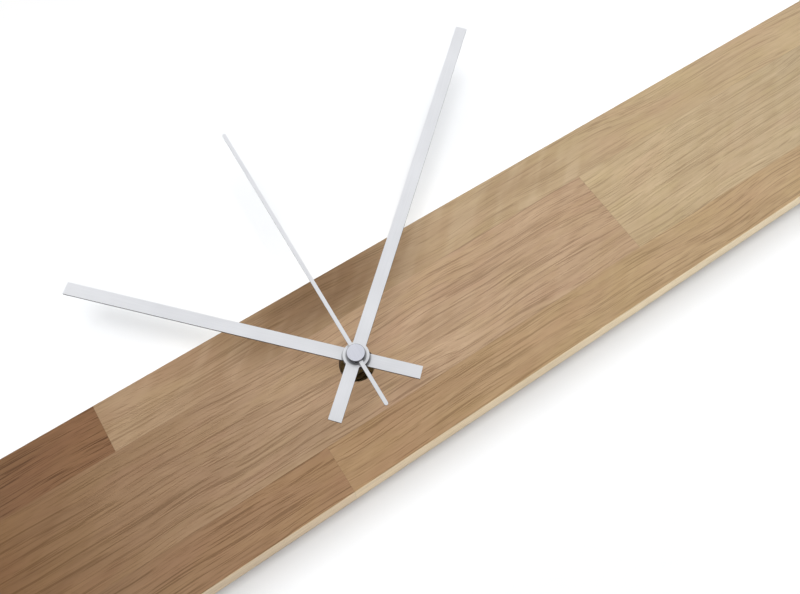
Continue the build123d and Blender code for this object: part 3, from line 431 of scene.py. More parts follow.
        # Painted shade inside the counterbore, in the joint colour.
        bore_shade = sheet.ramp(sheet.minus(sheet.from_axis(place), entry["Bore"]), *self.bore_shade_step)
        bore_shade = sheet.times(bore_shade, sheet.ramp(depth, *self.bore_shade_mouth))
        wood = sheet.blend(bore_shade, wood, entry["Glue"])
        low = sheet.split(sheet.vector("SUBTRACT", place, entry["Joint Low"]))
        high = sheet.split(sheet.vector("SUBTRACT", entry["Joint High"], place))
        nearest = low[0]
        for other in (high[0], low[2], high[2]):
            nearest = sheet.math("MINIMUM", nearest, other)
        wood = sheet.blend(sheet.ramp(nearest, *self.glue_step), wood, entry["Glue"])

        roughness = sheet.plus(sheet.ramp(pores, *self.pore_roughness), sheet.ramp(ray, *self.ray_roughness))
        relief = sheet.plus(sheet.times(fibre, self.fibre_height), sheet.times(pores, self.pore_height))
        return sheet.end(Color=wood, Roughness=roughness, Height=relief)


class Effects:
    """Shared surface effects, each a node group that is drawn once when it is first asked for."""

    made: dict[str, Tree] = {}

    @classmethod
    def get(cls, name: str) -> Tree:
        """The node group of that name, drawn on first use.

        Args:
            name: Name of the drawing method.

        Returns:
            The group's tree.
        """
        if name not in cls.made:
            cls.made[name] = getattr(cls, name)()
        return cls.made[name]

    @staticmethod
    def oak_grain() -> Tree:
        """Solid oak that can be cut anywhere."""
        return OakGrain().draw()

    @staticmethod
    def lay_sheet(name: str, inputs: dict[str, SocketKind]) -> NodeSheet:
        """Start the group of a finish that puts out a tone and a relief."""
        return NodeSheet.group(name, inputs, {"Tone": VALUE, "Height": VALUE})

    @staticmethod
    def end_lay(sheet: NodeSheet, lines: Socket, clouds: Socket, share: float) -> Tree:
        """Finish such a group.

        Args:
            sheet: The group's sheet.
            lines: Fine noise, which is the relief too.
            clouds: Slow noise.
            share: Share of the fine noise in the tone.

        Returns:
            The group's tree.
        """
        low, high = 0.3, 0.7
        tone = sheet.plus(sheet.times(lines, share), sheet.times(clouds, 1.0 - share))
        return sheet.end(Tone=sheet.ramp(tone, low, high), Height=lines)

    @classmethod
    def moulded_grain(cls) -> Tree:
        """Fine spark texture and slow flow clouds of a moulded piece.

        Returns:
            The group's tree.
        """
        flow_scale = (0.09, 0.09, 0.14)
        sheet = cls.lay_sheet("moulded_grain", {"Grain": VALUE})
        place = sheet.place_mm()
        fine_place = sheet.scale(place, sheet.over(1.0, sheet.entry["Grain"]))
        spark = sheet.noise(fine_place, detail=3.0, roughness=0.6)
        flow = sheet.noise(sheet.vector("MULTIPLY", place, flow_scale))
        return cls.end_lay(sheet, spark, flow, share=0.55)

    @classmethod
    def brushed_lay(cls) -> Tree:
        """Fine lines that a brush leaves in metal along one direction.

        Returns:
            The group's tree.
        """
        line_stretch, cloud_scale = 0.05, (0.06, 0.2, 0.06)
        sheet = cls.lay_sheet("brushed_lay", {"Along": VECTOR, "Across": VECTOR, "Fineness": VALUE})
        place = sheet.place_mm()
        along = sheet.times(sheet.dot(place, sheet.entry["Along"]), line_stretch)
        across = sheet.times(sheet.dot(place, sheet.entry["Across"]), sheet.entry["Fineness"])
        drawn = sheet.join(along, across, sheet.split(place)[1])
        lines = sheet.noise(drawn, detail=3.0, roughness=0.65)
        clouds = sheet.noise(sheet.vector("MULTIPLY", place, cloud_scale))
        return cls.end_lay(sheet, lines, clouds, share=0.6)

    @classmethod
    def turned_lay(cls) -> Tree:
        """Rings that a lathe tool leaves round the hand axis.

        Returns:
            The group's tree.
        """
        stain_scale = (0.5, 0.5, 0.5)
        sheet = cls.lay_sheet("turned_lay", {"Pitch": VALUE})
        place, pitch = sheet.place_mm(), sheet.entry["Pitch"]
        radius, depth = sheet.from_axis(place), sheet.split(place)[1]
        rings = sheet.join(sheet.over(radius, pitch), sheet.over(depth, pitch), 0.0)
        lines = sheet.noise(rings, roughness=0.6)
        stain = sheet.noise(sheet.vector("MULTIPLY", place, stain_scale), detail=3.0)
        return cls.end_lay(sheet, lines, stain, share=0.5)

    @staticmethod
    def rubbed_edge() -> Tree:
        """Mask of the sharp edges, where handling rubs a finish.

        Returns:
            The group's tree.
        """
        flat, sharp = 0.98, 0.8
        sheet = NodeSheet.group("rubbed_edge", {"Reach": VALUE}, {"Mask": VALUE})
        rounded = sheet.add("ShaderNodeBevel", {"Radius": sheet.entry["Reach"]}, samples=4).outputs[0]
        agree = sheet.dot(rounded, sheet.add("ShaderNodeNewGeometry").outputs["Normal"])
        return sheet.end(Mask=sheet.ramp(agree, flat, sharp))

    @staticmethod
    def hand_shade() -> Tree:
        """Mask of painted shade: on cut flanks, on a rounded rim, darkest below, and on what another piece
        covers.

        Returns:
            The group's tree.
        """
        flank_step, rim_step = (0.35, 0.75, 1.0, 0.0), (0.93, 0.985, 1.0, 0.0)
        lower_shade_step, rim_shade, cover_fade = (-0.30, -0.12, 1.0, 0.0), 0.8, 0.6
        sheet = NodeSheet.group("hand_shade", {"Covered": VALUE, "Cover": VALUE}, {"Mask": VALUE})
        normal = sheet.normal()
        facing = sheet.math("ABSOLUTE", normal[1])
        # Painted shade on rims, darker on the lower side, and round the hub under the piece above.
        depth = sheet.larger(sheet.ramp(normal[2], *lower_shade_step), rim_shade)
        rim = sheet.times(sheet.ramp(facing, *rim_step), depth)
        mask = sheet.larger(sheet.ramp(facing, *flank_step), rim)
        reach, covered = sheet.from_axis(sheet.place_mm()), sheet.entry["Covered"]
        under_shade = sheet.ramp(reach, covered, sheet.plus(covered, cover_fade), sheet.entry["Cover"], 0.0)
        return sheet.end(Mask=sheet.larger(mask, under_shade))


# Finishes

class Finish:
    """A finish that makes its own material."""

    def material(self, name: str) -> bpy.types.Material:
        """Make the material.

        Args:
            name: Name of the material.

        Returns:
            The material.
        """
        material, sheet = new_material(name)
        self.draw(sheet)
        return material

    def draw(self, sheet: NodeSheet) -> None:
        """Draw the finish on the sheet of a new material."""
        raise NotImplementedError


@dataclass(frozen=True)
class OakFinish(Finish):
    """One stave of oiled oak; its colour drifts along it, partly its own tone, partly painted light; places
    and sizes in millimetres, colours linear.
    """

    seed: Triple
    # Ends of the colour drift: partly the stave's own tone, partly painted light.
    left_tone_and_light: Rgb
    right_tone_and_light: Rgb
    span: Pair
    heart: Pair
    lean: float = 0.018
    lean_depth: float = 0.3
    ring_width: float = 3.2
    pore_share: float = 0.5
    ray_share: float = 0.12
    ray_slant: float = 42.0
    ray_depths: Pair = (0.2, 0.3)
    ray_end: float = FAR
    # Place and depth of the darker patch, partly own tone and partly painted shade of the hands.
    stain_place: Triple = (0.0, 0.0, 0.0)
    stain: float = 0.0
    early: Rgb = (0.560, 0.390, 0.236)
    late: Rgb = (0.390, 0.255, 0.142)
    pore: Rgb = (0.205, 0.124, 0.064)
    flush: Rgb = (0.492, 0.316, 0.192)
    gold: Rgb = (0.490, 0.345, 0.176)
    ray: Rgb = (0.600, 0.440, 0.292)
    # The joint colour, also used as painted shade inside the counterbore.
    glue: Rgb = (0.075, 0.045, 0.024)
    bare: Rgb = (0.850, 0.710, 0.490)
    bore: float = 0.0
    top: float = FAR
    joint_low: Triple = (-FAR, -FAR, -FAR)
    joint_high: Triple = (FAR, FAR, FAR)
    specular: float = 0.35
    relief: float = 0.12
    relief_share: float = 0.5

    def draw(self, sheet: NodeSheet) -> None:
        """Oak, with this stave's own values for the grain.

        Args:
            sheet: Sheet of the new material.
        """
        slant = radians(self.ray_slant)
        worked_out = {
            "Heart": (0.0, *self.heart),
            "Lean": (0.0, self.lean_depth * self.lean, self.lean),
            "Left": self.span[0],
            "Right": self.span[1],
            "Ray Along": (cos(slant), self.ray_depths[0], sin(slant)),
            "Ray Across": (-sin(slant), self.ray_depths[1], cos(slant)),
        }
        own = [label for label in OakGrain.inputs() if label not in worked_out]
        given = {label: getattr(self, label.lower().replace(" ", "_")) for label in own}
        oak = sheet.use("oak_grain", given | worked_out)
        feeds = {
            "Base Color": oak["Color"],
            "Roughness": oak["Roughness"],
            "Specular IOR Level": self.specular,
        }
        sheet.surface(feeds, oak["Height"], self.relief, self.relief_share)


@dataclass(frozen=True)
class BrushedFinish(Finish):
    """Metal with fine lines along one direction, given as an angle in degrees from twelve towards three.

    On the hands, cut flanks and rims get a dark painted shade, which is also painted on what another piece
    covers.
    """

    dark: Rgb
    light: Rgb
    edge: Rgb
    roughness: Pair
    fineness: float = 5.0
    edge_reach: float = 0.12
    relief: float = 0.01
    # Colour of the painted shade on flanks, rims and covered parts.
    painted_shade: Rgb | None = None
    covered: Pair = (0.0, 0.0)
    angle: float = 90.0
    relief_share: float = 0.4

    def draw(self, sheet: NodeSheet) -> None:
        """Brushed lines, rubbed edges and, on a hand, painted shade on flanks, rims and what another piece
        covers.

        Args:
            sheet: Sheet of the new material.
        """
        turn = radians(self.angle)
        along, across = (sin(turn), 0.0, cos(turn)), (cos(turn), 0.0, -sin(turn))
        lay = sheet.use("brushed_lay", {"Along": along, "Across": across, "Fineness": self.fineness})
        rub = sheet.use("rubbed_edge", {"Reach": self.edge_reach * MM})["Mask"]
        metal = sheet.blend(rub, sheet.blend(lay["Tone"], self.dark, self.light), self.edge)
        if self.painted_shade is not None:
            # Painted shade on cut flanks, rims and what the piece above covers.
            shade = sheet.use("hand_shade", {"Covered": self.covered[0], "Cover": self.covered[1]})
            metal = sheet.blend(shade["Mask"], metal, self.painted_shade)
        feeds = {
            "Base Color": metal,
            "Metallic": 1.0,
            "Roughness": sheet.ramp(lay["Tone"], 0.0, 1.0, *self.roughness),
        }
        sheet.surface(feeds, lay["Height"], self.relief, self.relief_share)


@dataclass(frozen=True)
class TurnedFinish(Finish):
    """Turned metal with lathe rings round the hand axis."""

    dark: Rgb
    light: Rgb
    roughness: Pair
    pitch: float = 0.12
    relief: float = 0.01
    relief_share: float = 0.4

    def draw(self, sheet: NodeSheet) -> None:
        """Lathe rings with a little stain.

        Args:
            sheet: Sheet of the new material.
        """
        lay = sheet.use("turned_lay", {"Pitch": self.pitch})
        feeds = {
            "Base Color": sheet.blend(lay["Tone"], self.dark, self.light),
            "Metallic": 1.0,
            "Roughness": sheet.ramp(lay["Tone"], 0.0, 1.0, *self.roughness),
        }
        sheet.surface(feeds, lay["Height"], self.relief, self.relief_share)


@dataclass(frozen=True)
class MouldedFinish(Finish):
    """Moulded plastic, resin, rubber or sintered stock."""

    dark: Rgb
    light: Rgb
    roughness: Pair
    grain: float = 0.25
    relief: float = 0.03
    relief_share: float = 0.5
    edge_gain: float = 0.25
    edge_lift: float = 0.04
    edge_reach: float = 0.2
    specular: float = 0.45

    def draw(self, sheet: NodeSheet) -> None:
        """Spark texture, with lighter edges.

        Args:
            sheet: Sheet of the new material.
        """
        grain = sheet.use("moulded_grain", {"Grain": self.grain})
        rub = sheet.use("rubbed_edge", {"Reach": self.edge_reach * MM})["Mask"]
        body = sheet.blend(grain["Tone"], self.dark, self.light)
        gain, lift = 1 + self.edge_gain, self.edge_lift * self.edge_gain
        feeds = {
            "Base Color": sheet.blend(rub, body, tuple(min(1.0, part * gain + lift) for part in self.light)),
            "Roughness": sheet.ramp(grain["Tone"], 0.0, 1.0, *self.roughness),
            "Specular IOR Level": self.specular,
        }
        sheet.surface(feeds, grain["Height"], self.relief, self.relief_share)


@dataclass(frozen=True)
class WoundFinish(Finish):
    """Enamelled wire wound in close turns along X, with painted shade in the grooves between turns."""

    # The groove colour is painted shade between the turns.
    valley_shade: Rgb = (0.16, 0.05, 0.018)
    crown: Rgb = (0.66, 0.28, 0.11)
    roughness: Pair = (0.5, 0.3)
    metallic: float = 0.8
    pitch: float = 0.22
    relief: float = 0.08
    relief_share: float = 0.8

    def draw(self, sheet: NodeSheet) -> None:
        """One crown and one groove in painted shade to a turn of wire.

        Args:
            sheet: Sheet of the new material.
        """
        along = sheet.split(sheet.place_mm())[0]
        crown = sheet.ramp(sheet.math("SINE", sheet.times(along, 2 * pi / self.pitch)), -1.0, 1.0)
        feeds = {
            "Base Color": sheet.blend(crown, self.valley_shade, self.crown),
            "Metallic": self.metallic,
            "Roughness": sheet.ramp(crown, 0.0, 1.0, *self.roughness),
        }
        sheet.surface(feeds, crown, self.relief, self.relief_share)


@dataclass(frozen=True)
class CellFinish(Finish):
    """Dry cell along X with a plain printed jacket, a plain ring near its nub and bare steel ends."""

    jacket: Rgb = (0.055, 0.115, 0.210)
    ring: Rgb = (0.560, 0.575, 0.590)
    steel: Rgb = (0.560, 0.555, 0.540)
    roughness: Pair = (0.28, 0.38)
    specular: float = 0.5
    grain: float = 0.6
    relief: float = 0.01
    relief_share: float = 0.3
    shade: float = 0.12
    soft: float = 0.08
    foot: float = 0.9
    nub_end: float = 2.3
    ring_start: float = 9.0
    ring_end: float = 5.5
    low: float = 0.0
    high: float = 0.0

    def draw(self, sheet: NodeSheet) -> None:
        """Printed jacket and steel, parted by their place along the cell.

        Args:
            sheet: Sheet of the new material.
        """
        along = sheet.split(sheet.place_mm())[0]
        grain = sheet.use("moulded_grain", {"Grain": self.grain})

        def past(place: float) -> Socket:
            """Mask of what lies past a place along the cell."""
            return sheet.ramp(along, place - self.soft, place + self.soft)

        def before(place: float) -> Socket:
            """Mask of what lies before a place along the cell."""
            return sheet.ramp(along, place - self.soft, place + self.soft, 1.0, 0.0)

        bare = sheet.larger(before(self.low + self.foot), past(self.high - self.nub_end))
        ring = sheet.times(past(self.high - self.ring_start), before(self.high - self.ring_end))
        printed = sheet.blend(ring, self.jacket, self.ring)
        shade = sheet.ramp(grain["Tone"], 0.0, 1.0, 0.0, self.shade)
        printed = sheet.blend(shade, printed, (0.0, 0.0, 0.0))
        feeds = {
            "Base Color": sheet.blend(bare, printed, self.steel),
            "Metallic": bare,
            "Roughness": sheet.ramp(grain["Tone"], 0.0, 1.0, *self.roughness),
            "Specular IOR Level": self.specular,
        }
        sheet.surface(feeds, grain["Height"], self.relief, self.relief_share)


# Pieces of the clock

def dress(material: bpy.types.Material, *nodes: str) -> None:
    """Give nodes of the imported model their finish.

    Args:
        material: The finish.
        nodes: Names of the nodes.
    """
    for node in nodes:
        mesh = frame["nodes"][node].data
        mesh.materials.clear()
        mesh.materials.append(material)
        LOG.info("%s: %s", node, material.name)


class Row(Enum):
    """Rows of staves, from the top of the plank down."""

    TOP = "top"
    MIDDLE = "middle"
    BOTTOM = "bottom"


@dataclass
class OakPlank:
    """The stave-glued plank; sizes in millimetres."""

    # Radius of the counterbore, inside which the oak gets painted shade.
    bore: float = 7.0
    top: float = 39.8

    def staves(self) -> dict[tuple[Row, int], OakFinish]:
        """The finish of each stave by its row and its number from the left.

        Returns:
            One finish for each stave.
        """
        return {
            (Row.TOP, 1): OakFinish(
                (345.0, 47.0, 17.0), (0.38, 0.282, 0.19), (0.472, 0.328, 0.23),
                (-165.0, -91.0), (35.0, 128.0), ring_width=2.5, pore_share=0.85,
            ),
            (Row.TOP, 2): OakFinish(
                (820.0, 91.0, 57.0), (0.81, 0.76, 0.705), (1.075, 1.14, 1.13),
                (-95.0, 190.0), (60.0, 20.0), pore_share=0.36, ray_share=0.34, ray_end=150.0,
                # Patch near the hub: partly own tone, partly painted shade of the hands above it.
                stain_place=(5.0, -22.0, 34.0), stain=1.0,
            ),
            (Row.MIDDLE, 1): OakFinish(
                (1430.0, 17.0, 83.0), (0.50, 0.41, 0.32), (0.44, 0.34, 0.255),
                (-350.0, -232.0), (45.0, 95.0),
            ),
            (Row.MIDDLE, 2): OakFinish(
                (2090.0, 66.0, 31.0), (0.37, 0.24, 0.105), (1.03, 1.01, 1.03),
                (-190.0, 45.0), (40.0, -85.0),
            ),
            (Row.MIDDLE, 3): OakFinish(
                (2750.0, 23.0, 70.0), (1.13, 1.22, 1.21), (1.0, 1.10, 1.11),
                (125.0, 300.0), (40.0, 90.0), lean=-0.012, pore_share=0.38,
            ),
            (Row.BOTTOM, 1): OakFinish(
                (3410.0, 58.0, 44.0), (0.43, 0.345, 0.275), (0.745, 0.625, 0.525),
                (-170.0, -26.0), (35.0, -110.0), lean=0.01, pore_share=0.6,
            ),
            (Row.BOTTOM, 2): OakFinish(
                (4070.0, 35.0, 9.0), (0.82, 0.73, 0.605), (1.01, 1.01, 0.93),
                (-40.0, 150.0), (45.0, -105.0),
            ),
        }

    def dress(self) -> None:
        """Give every stave its own piece of oak, with glue lines where it meets its neighbours."""
        finishes = self.staves()
        for (row, number), finish in finishes.items():
            node = f"oak_stave_{row.value}_{number}"
            low, high = (Vector(corner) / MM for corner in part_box(node))
            has_next = (row, number + 1) in finishes
            cut = replace(
                finish,
                bore=self.bore,
                top=self.top,
                joint_low=(low.x if number > 1 else -FAR, -FAR, -FAR if row is Row.BOTTOM else low.z),
                joint_high=(high.x if has_next else FAR, FAR, FAR if row is Row.TOP else high.z),
            )
            dress(cut.material(node), node)


@dataclass
class HangerSet:
    """Keyhole plates and their screws."""

    plate: BrushedFinish = BrushedFinish(
        (0.40, 0.41, 0.42), (0.60, 0.61, 0.62), (0.72, 0.73, 0.74), (0.42, 0.30),
        fineness=3.0, edge_reach=0.15, angle=0.0,
    )
    screw: TurnedFinish = TurnedFinish((0.42, 0.42, 0.41), (0.66, 0.66, 0.64), (0.36, 0.24))

    def dress(self) -> None:
        """Zinc on the plates, brighter zinc on the screws."""
        dress(self.plate.material("hanger_zinc"), "hanger_plate_left", "hanger_plate_right")
        dress(self.screw.material("screw_zinc"), "hanger_screws")


@dataclass
class Movement:
    """Quartz movement: case, fixing, train, motor, circuit and cell."""

    case: MouldedFinish = MouldedFinish(
        (0.014, 0.014, 0.015), (0.026, 0.026, 0.028), (0.44, 0.58),
        grain=0.22, relief=0.04, edge_gain=1.6,
    )
    plate: MouldedFinish = MouldedFinish((0.58, 0.58, 0.55), (0.68, 0.68, 0.65), (0.40, 0.50))
    wheel: MouldedFinish = MouldedFinish(
        (0.72, 0.69, 0.58), (0.82, 0.79, 0.69), (0.24, 0.34), grain=0.6, relief=0.01
    )
    knob: MouldedFinish = MouldedFinish(
        (0.30, 0.024, 0.018), (0.40, 0.036, 0.028), (0.34, 0.46),
        grain=0.3, relief=0.02, edge_gain=0.5,
    )
    rubber: MouldedFinish = MouldedFinish(
        (0.016, 0.016, 0.016), (0.030, 0.030, 0.030), (0.75, 0.9), grain=0.35, relief=0.06
    )
    magnet: MouldedFinish = MouldedFinish(
        (0.030, 0.030, 0.033), (0.055, 0.055, 0.060), (0.5, 0.65), grain=0.15
    )
    board: MouldedFinish = MouldedFinish(
        (0.025, 0.115, 0.040), (0.040, 0.160, 0.060), (0.28, 0.40), grain=0.5, relief=0.02
    )
    resin: MouldedFinish = MouldedFinish(
        (0.010, 0.010, 0.010), (0.020, 0.020, 0.020), (0.22, 0.32), grain=0.9, relief=0.02
    )
    # Brass darkened as painted shade, for the nut in the counterbore.
    brass: TurnedFinish = TurnedFinish((0.085, 0.060, 0.026), (0.230, 0.165, 0.075), (0.52, 0.36))
    steel: BrushedFinish = BrushedFinish(
        (0.42, 0.42, 0.43), (0.60, 0.60, 0.61), (0.70, 0.70, 0.71), (0.40, 0.28), fineness=4.0
    )
    contact: BrushedFinish = BrushedFinish(
        (0.60, 0.58, 0.52), (0.76, 0.74, 0.68), (0.82, 0.80, 0.75), (0.30, 0.20),
        fineness=4.0, angle=0.0,
    )
    can: BrushedFinish = BrushedFinish(
        (0.58, 0.58, 0.59), (0.78, 0.78, 0.79), (0.82, 0.82, 0.83), (0.22, 0.12),
        fineness=6.0, angle=0.0,
    )
    winding: WoundFinish = WoundFinish()
    cell: CellFinish = CellFinish()

    def dress(self) -> None:
        """Dress the movement from the outside in."""
        self.dress_case()
        self.dress_fixing()
        self.dress_train()
        self.dress_motor()
        self.dress_supply()

    def dress_case(self) -> None:
        """Black moulded case, pale inner plate and bobbin."""
        dress(self.case.material("case_black"), "movement_front_cover", "movement_rear_case")
        dress(self.plate.material("plate_pale"), "middle_plate", "coil_bobbin")

    def dress_fixing(self) -> None:
        """Brass bush, nut and washer, darkened as painted shade for the counterbore, and the rubber gasket.
        """
        dress(self.brass.material("brass_in_painted_shade"), "threaded_bush", "shaft_nut", "shaft_washer")
        dress(self.rubber.material("gasket_rubber"), "movement_gasket")

    def dress_train(self) -> None:
        """Acetal wheels, and the red knob that sets the hands."""
        dress(
            self.wheel.material("wheel_acetal"),
            "hour_wheel", "minute_wheel", "second_wheel", "third_wheel", "minute_work_wheel",
            "intermediate_wheel", "rotor_pinion", "setting_pinion",
        )
        dress(self.knob.material("knob_red"), "setting_knob")

    def dress_motor(self) -> None:
        """Magnet, stator, coil core and winding."""
        dress(self.magnet.material("magnet_ceramic"), "rotor_magnet")
        dress(self.steel.material("sheet_steel"), "stator", "coil_core")
        dress(self.winding.material("copper_winding"), "coil_winding")

    def dress_supply(self) -> None:
        """Circuit board with its parts, contacts and the cell."""
        dress(self.board.material("board_lacquer"), "circuit_board")
        dress(self.resin.material("chip_resin"), "driver_chip")
        dress(self.can.material("crystal_can"), "quartz_crystal")
        dress(self.contact.material("contact_plating"), "positive_contact", "negative_contact")
        low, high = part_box("battery_cell")
        cell = replace(self.cell, low=low[0] / MM, high=high[0] / MM)
        dress(cell.material("plain_cell"), "battery_cell")


@dataclass(frozen=True)
class Hand:
    """One hand, with its angle in degrees from twelve towards three.

    The piece over its hub casts a painted shade on it; covered is that painted shade's radius and its depth.
    """

    node: str
    angle: float
    covered: Pair = (0.0, 0.0)


@dataclass
class HandSet:
    """The three hands with their collets and the cap; sizes in millimetres."""

    hour: Hand = Hand("hour_hand", -43.2, (5.25, 0.55))
    minute: Hand = Hand("minute_hand", 49.15, (3.65, 0.55))
    second: Hand = Hand("second_hand", 2.2)
    # Both finishes carry a dark painted shade for flanks, rims and covered hubs.
    satin: BrushedFinish = BrushedFinish(
        (0.760, 0.770, 0.800), (0.820, 0.830, 0.860), (0.70, 0.71, 0.74), (0.44, 0.36),
        fineness=6.0, edge_reach=0.1, relief=0.004, painted_shade=(0.040, 0.041, 0.045),
    )
    cap: BrushedFinish = BrushedFinish(
        (0.685, 0.70, 0.775), (0.75, 0.765, 0.84), (0.55, 0.56, 0.63), (0.42, 0.34),
        fineness=6.0, edge_reach=0.15, relief=0.004, painted_shade=(0.10, 0.102, 0.115),
    )
    brass: TurnedFinish = TurnedFinish((0.20, 0.145, 0.065), (0.42, 0.32, 0.16), (0.44, 0.30))

    def dress(self) -> None:
        """Satin aluminium on the hands, brass on their collets."""
        for hand in (self.hour, self.minute, self.second):
            satin = replace(self.satin, angle=hand.angle, covered=hand.covered)
            dress(satin.material(f"{hand.node}_satin"), hand.node)
        collets = ("hour_hand_collet", "minute_hand_collet", "second_hand_tube")
        dress(self.brass.material("collet_brass"), *collets)
        cap = replace(self.cap, angle=self.second.angle)
        dress(cap.material("cap_satin"), "second_hand_cap")


# Studio

def group_of(name: str, pieces: Iterable[bpy.types.Object]) -> bpy.types.Collection:
    """Gather pieces for the lamps, outside the scene's own list.

    Args:
        name: Name of the group.
        pieces: What goes into it.

    Returns:
        The group.
    """
    group = bpy.data.collections.new(name)
    for piece in pieces:
        group.objects.link(piece)
    return group


class Group(Enum):
    """What a lamp lights, or what throws shadows in its light."""

    ALL = "all"
    WALL = "wall"
    CLOCK = "clock"
    STILL = "clock_without_hands"


@dataclass(frozen=True)
class SoftBox:
    """One soft lamp: a panel that faces a point; places and sizes in metres."""

    name: str
    place: Triple
    aim: Triple
    size: Pair
    power: float
    lights: Group = Group.ALL
    shaded_by: Group = Group.ALL
    mirrored: bool = False
    bounces: int = 1024

    def build(self, groups: dict[Group, bpy.types.Collection]) -> None:
        """Hang the lamp in the scene.

        Args:
            groups: What each group holds; a group that isn't named here is everything.
        """
        lamp = bpy.data.lights.new(self.name, "AREA")
        lamp.shape = "RECTANGLE"
        lamp.size, lamp.size_y = self.size
        lamp.energy = self.power
        lamp.cycles.max_bounces = self.bounces
        panel = bpy.data.objects.new(self.name, lamp)
        panel.visible_glossy = self.mirrored
        panel.location = self.place
        panel.rotation_euler = (Vector(self.aim) - panel.location).to_track_quat("-Z", "Y").to_euler()
        panel.light_linking.receiver_collection = groups.get(self.lights)
        panel.light_linking.blocker_collection = groups.get(self.shaded_by)
        bpy.context.scene.collection.objects.link(panel)
        LOG.info("lamp %s", self.name)


@dataclass
class Studio:
    """White wall, plain soft light and the camera; sizes in metres, angles in degrees."""

    wall_reach: float = 4.0
    wall_gap: float = 0.0008
    wall_lap: float = 0.003
    wall_bounce: float = 0.86
    wall_seen: Pair = (0.89, 0.92)
    wall_fade: Pair = (0.09, 0.20)
    wall_tint: Rgb = (0.985, 1.0, 1.02)
    wall_shaded: Pair = (0.43, 0.27)
    wall_plain: Pair = (0.75, 1.0)
    floor_drop: float = 0.45
    floor_grey: float = 0.5
    ambient: float = 0.09
    ambient_tint: Rgb = (0.97, 1.0, 1.04)
    camera_place: Triple = (-0.034196, -0.279768, -0.070501)
    camera_heading: float = 13.825
    camera_pitch: float = 17.723
    camera_roll: float = 35.235
    camera_lens: float = 31.287
    camera_sensor: float = 36.0
    camera_near: float = 0.01
    lamps: tuple[SoftBox, ...] = (
        SoftBox("wall_core", (-0.065, -2.00, -0.14), (0.03, 0.0, 0.02), (0.8, 0.8), 22.5, Group.WALL),
        SoftBox("wall_high", (0.05, -2.00, 0.64), (0.05, 0.0, 0.02), (4.5, 1.35), 39.0, Group.WALL),
        SoftBox(
            "clock_fill", (-0.05, -2.00, -0.10), (0.03, 0.0, 0.02), (2.0, 2.0), 29.8, Group.CLOCK, Group.STILL
        ),
        SoftBox("clock_high", (0.05, -2.00, 0.61), (0.05, 0.0, 0.02), (4.5, 1.25), 22.8, Group.CLOCK),
        SoftBox("right_box", (0.70, -0.45, 0.10), (0.20, 0.0, 0.0), (0.4, 0.4), 0.4, mirrored=True),
        SoftBox(
            "lower_box", (0.25, -0.02, -0.80), (0.25, -0.011, -0.04), (0.04, 0.04), 2.2,
            Group.CLOCK, bounces=0,
        ),
        SoftBox("rear_box", (0.0, 1.00, 0.25), (0.0, 0.0, 0.0), (0.9, 0.9), 4.6, Group.CLOCK, Group.CLOCK),
    )

    def build(self) -> None:
        """Set up the wall, the light and the camera."""
        wall = self.build_wall()
        self.build_floor()
        self.build_world()
        clock = frame["nodes"]
        held = {
            Group.WALL: [wall],
            Group.CLOCK: clock.values(),
            Group.STILL: [piece for node, piece in clock.items() if "_hand" not in node],
        }
        groups = {group: group_of(group.value, pieces) for group, pieces in held.items()}
        for lamp in self.lamps:
            lamp.build(groups)
        self.build_camera()
        bpy.context.scene.view_settings.view_transform = "Standard"

    @staticmethod
    def place(thing: bpy.types.Object) -> None:
        """Put the wall, the floor or the camera into the scene."""
        bpy.context.scene.collection.objects.link(thing)
        LOG.info("%s", thing.name)

    def build_wall(self) -> bpy.types.Object:
        """White wall with an opening behind the plank, so that light reaches the back from behind.

        Returns:
            The wall.
        """
        boxes = [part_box(node) for node in frame["nodes"] if node.startswith("oak_stave")]
        left = min(low[0] for low, _ in boxes) + self.wall_lap
        right = max(high[0] for _, high in boxes) - self.wall_lap
        bottom = min(low[2] for low, _ in boxes) + self.wall_lap
        top = max(high[2] for _, high in boxes) - self.wall_lap
        reach = self.wall_reach
        outer = ((-reach, -reach), (reach, -reach), (reach, reach), (-reach, reach))
        inner = ((left, bottom), (right, bottom), (right, top), (left, top))
        built = bmesh.new()
        rims = [[built.verts.new((x, self.wall_gap, z)) for x, z in ring] for ring in (outer, inner)]
        for corner in range(4):
            after = (corner + 1) % 4
            built.faces.new((rims[0][corner], rims[0][after], rims[1][after], rims[1][corner]))
        mesh = bpy.data.meshes.new("wall")
        built.to_mesh(mesh)
        built.free()
        mesh.materials.append(self.wall_material())
        wall = bpy.data.objects.new("wall", mesh)
        self.place(wall)
        return wall

    def build_floor(self) -> None:
        """Grey floor far below, which only polished metal mirrors."""
        reach, drop = self.wall_reach, -self.floor_drop
        mesh = bpy.data.meshes.new("floor")
        corners = [(-reach, -reach, drop), (reach, -reach, drop), (reach, 0.0, drop), (-reach, 0.0, drop)]
        mesh.from_pydata(corners, [], [(0, 1, 2, 3)])
        material, sheet = new_material("floor_grey")
        grey = sheet.add("ShaderNodeBsdfDiffuse", {"Color": (self.floor_grey,) * 3})
        sheet.add("ShaderNodeOutputMaterial", {"Surface": grey.outputs[0]})
        mesh.materials.append(material)
        floor = bpy.data.objects.new("floor", mesh)
        for rays in ("camera", "diffuse", "shadow", "transmission"):
            setattr(floor, f"visible_{rays}", False)
        self.place(floor)

    def seen_share(self, sheet: NodeSheet) -> Socket:
        """Mask of the rays that show the background: camera, glossy and transmission rays.

        Args:
            sheet: Sheet of the material or world.

        Returns:
            The mask's socket.
        """
        path = sheet.add("ShaderNodeLightPath").outputs
        either = sheet.larger(path["Is Camera Ray"], path["Is Glossy Ray"])
        return sheet.larger(either, path["Is Transmission Ray"])

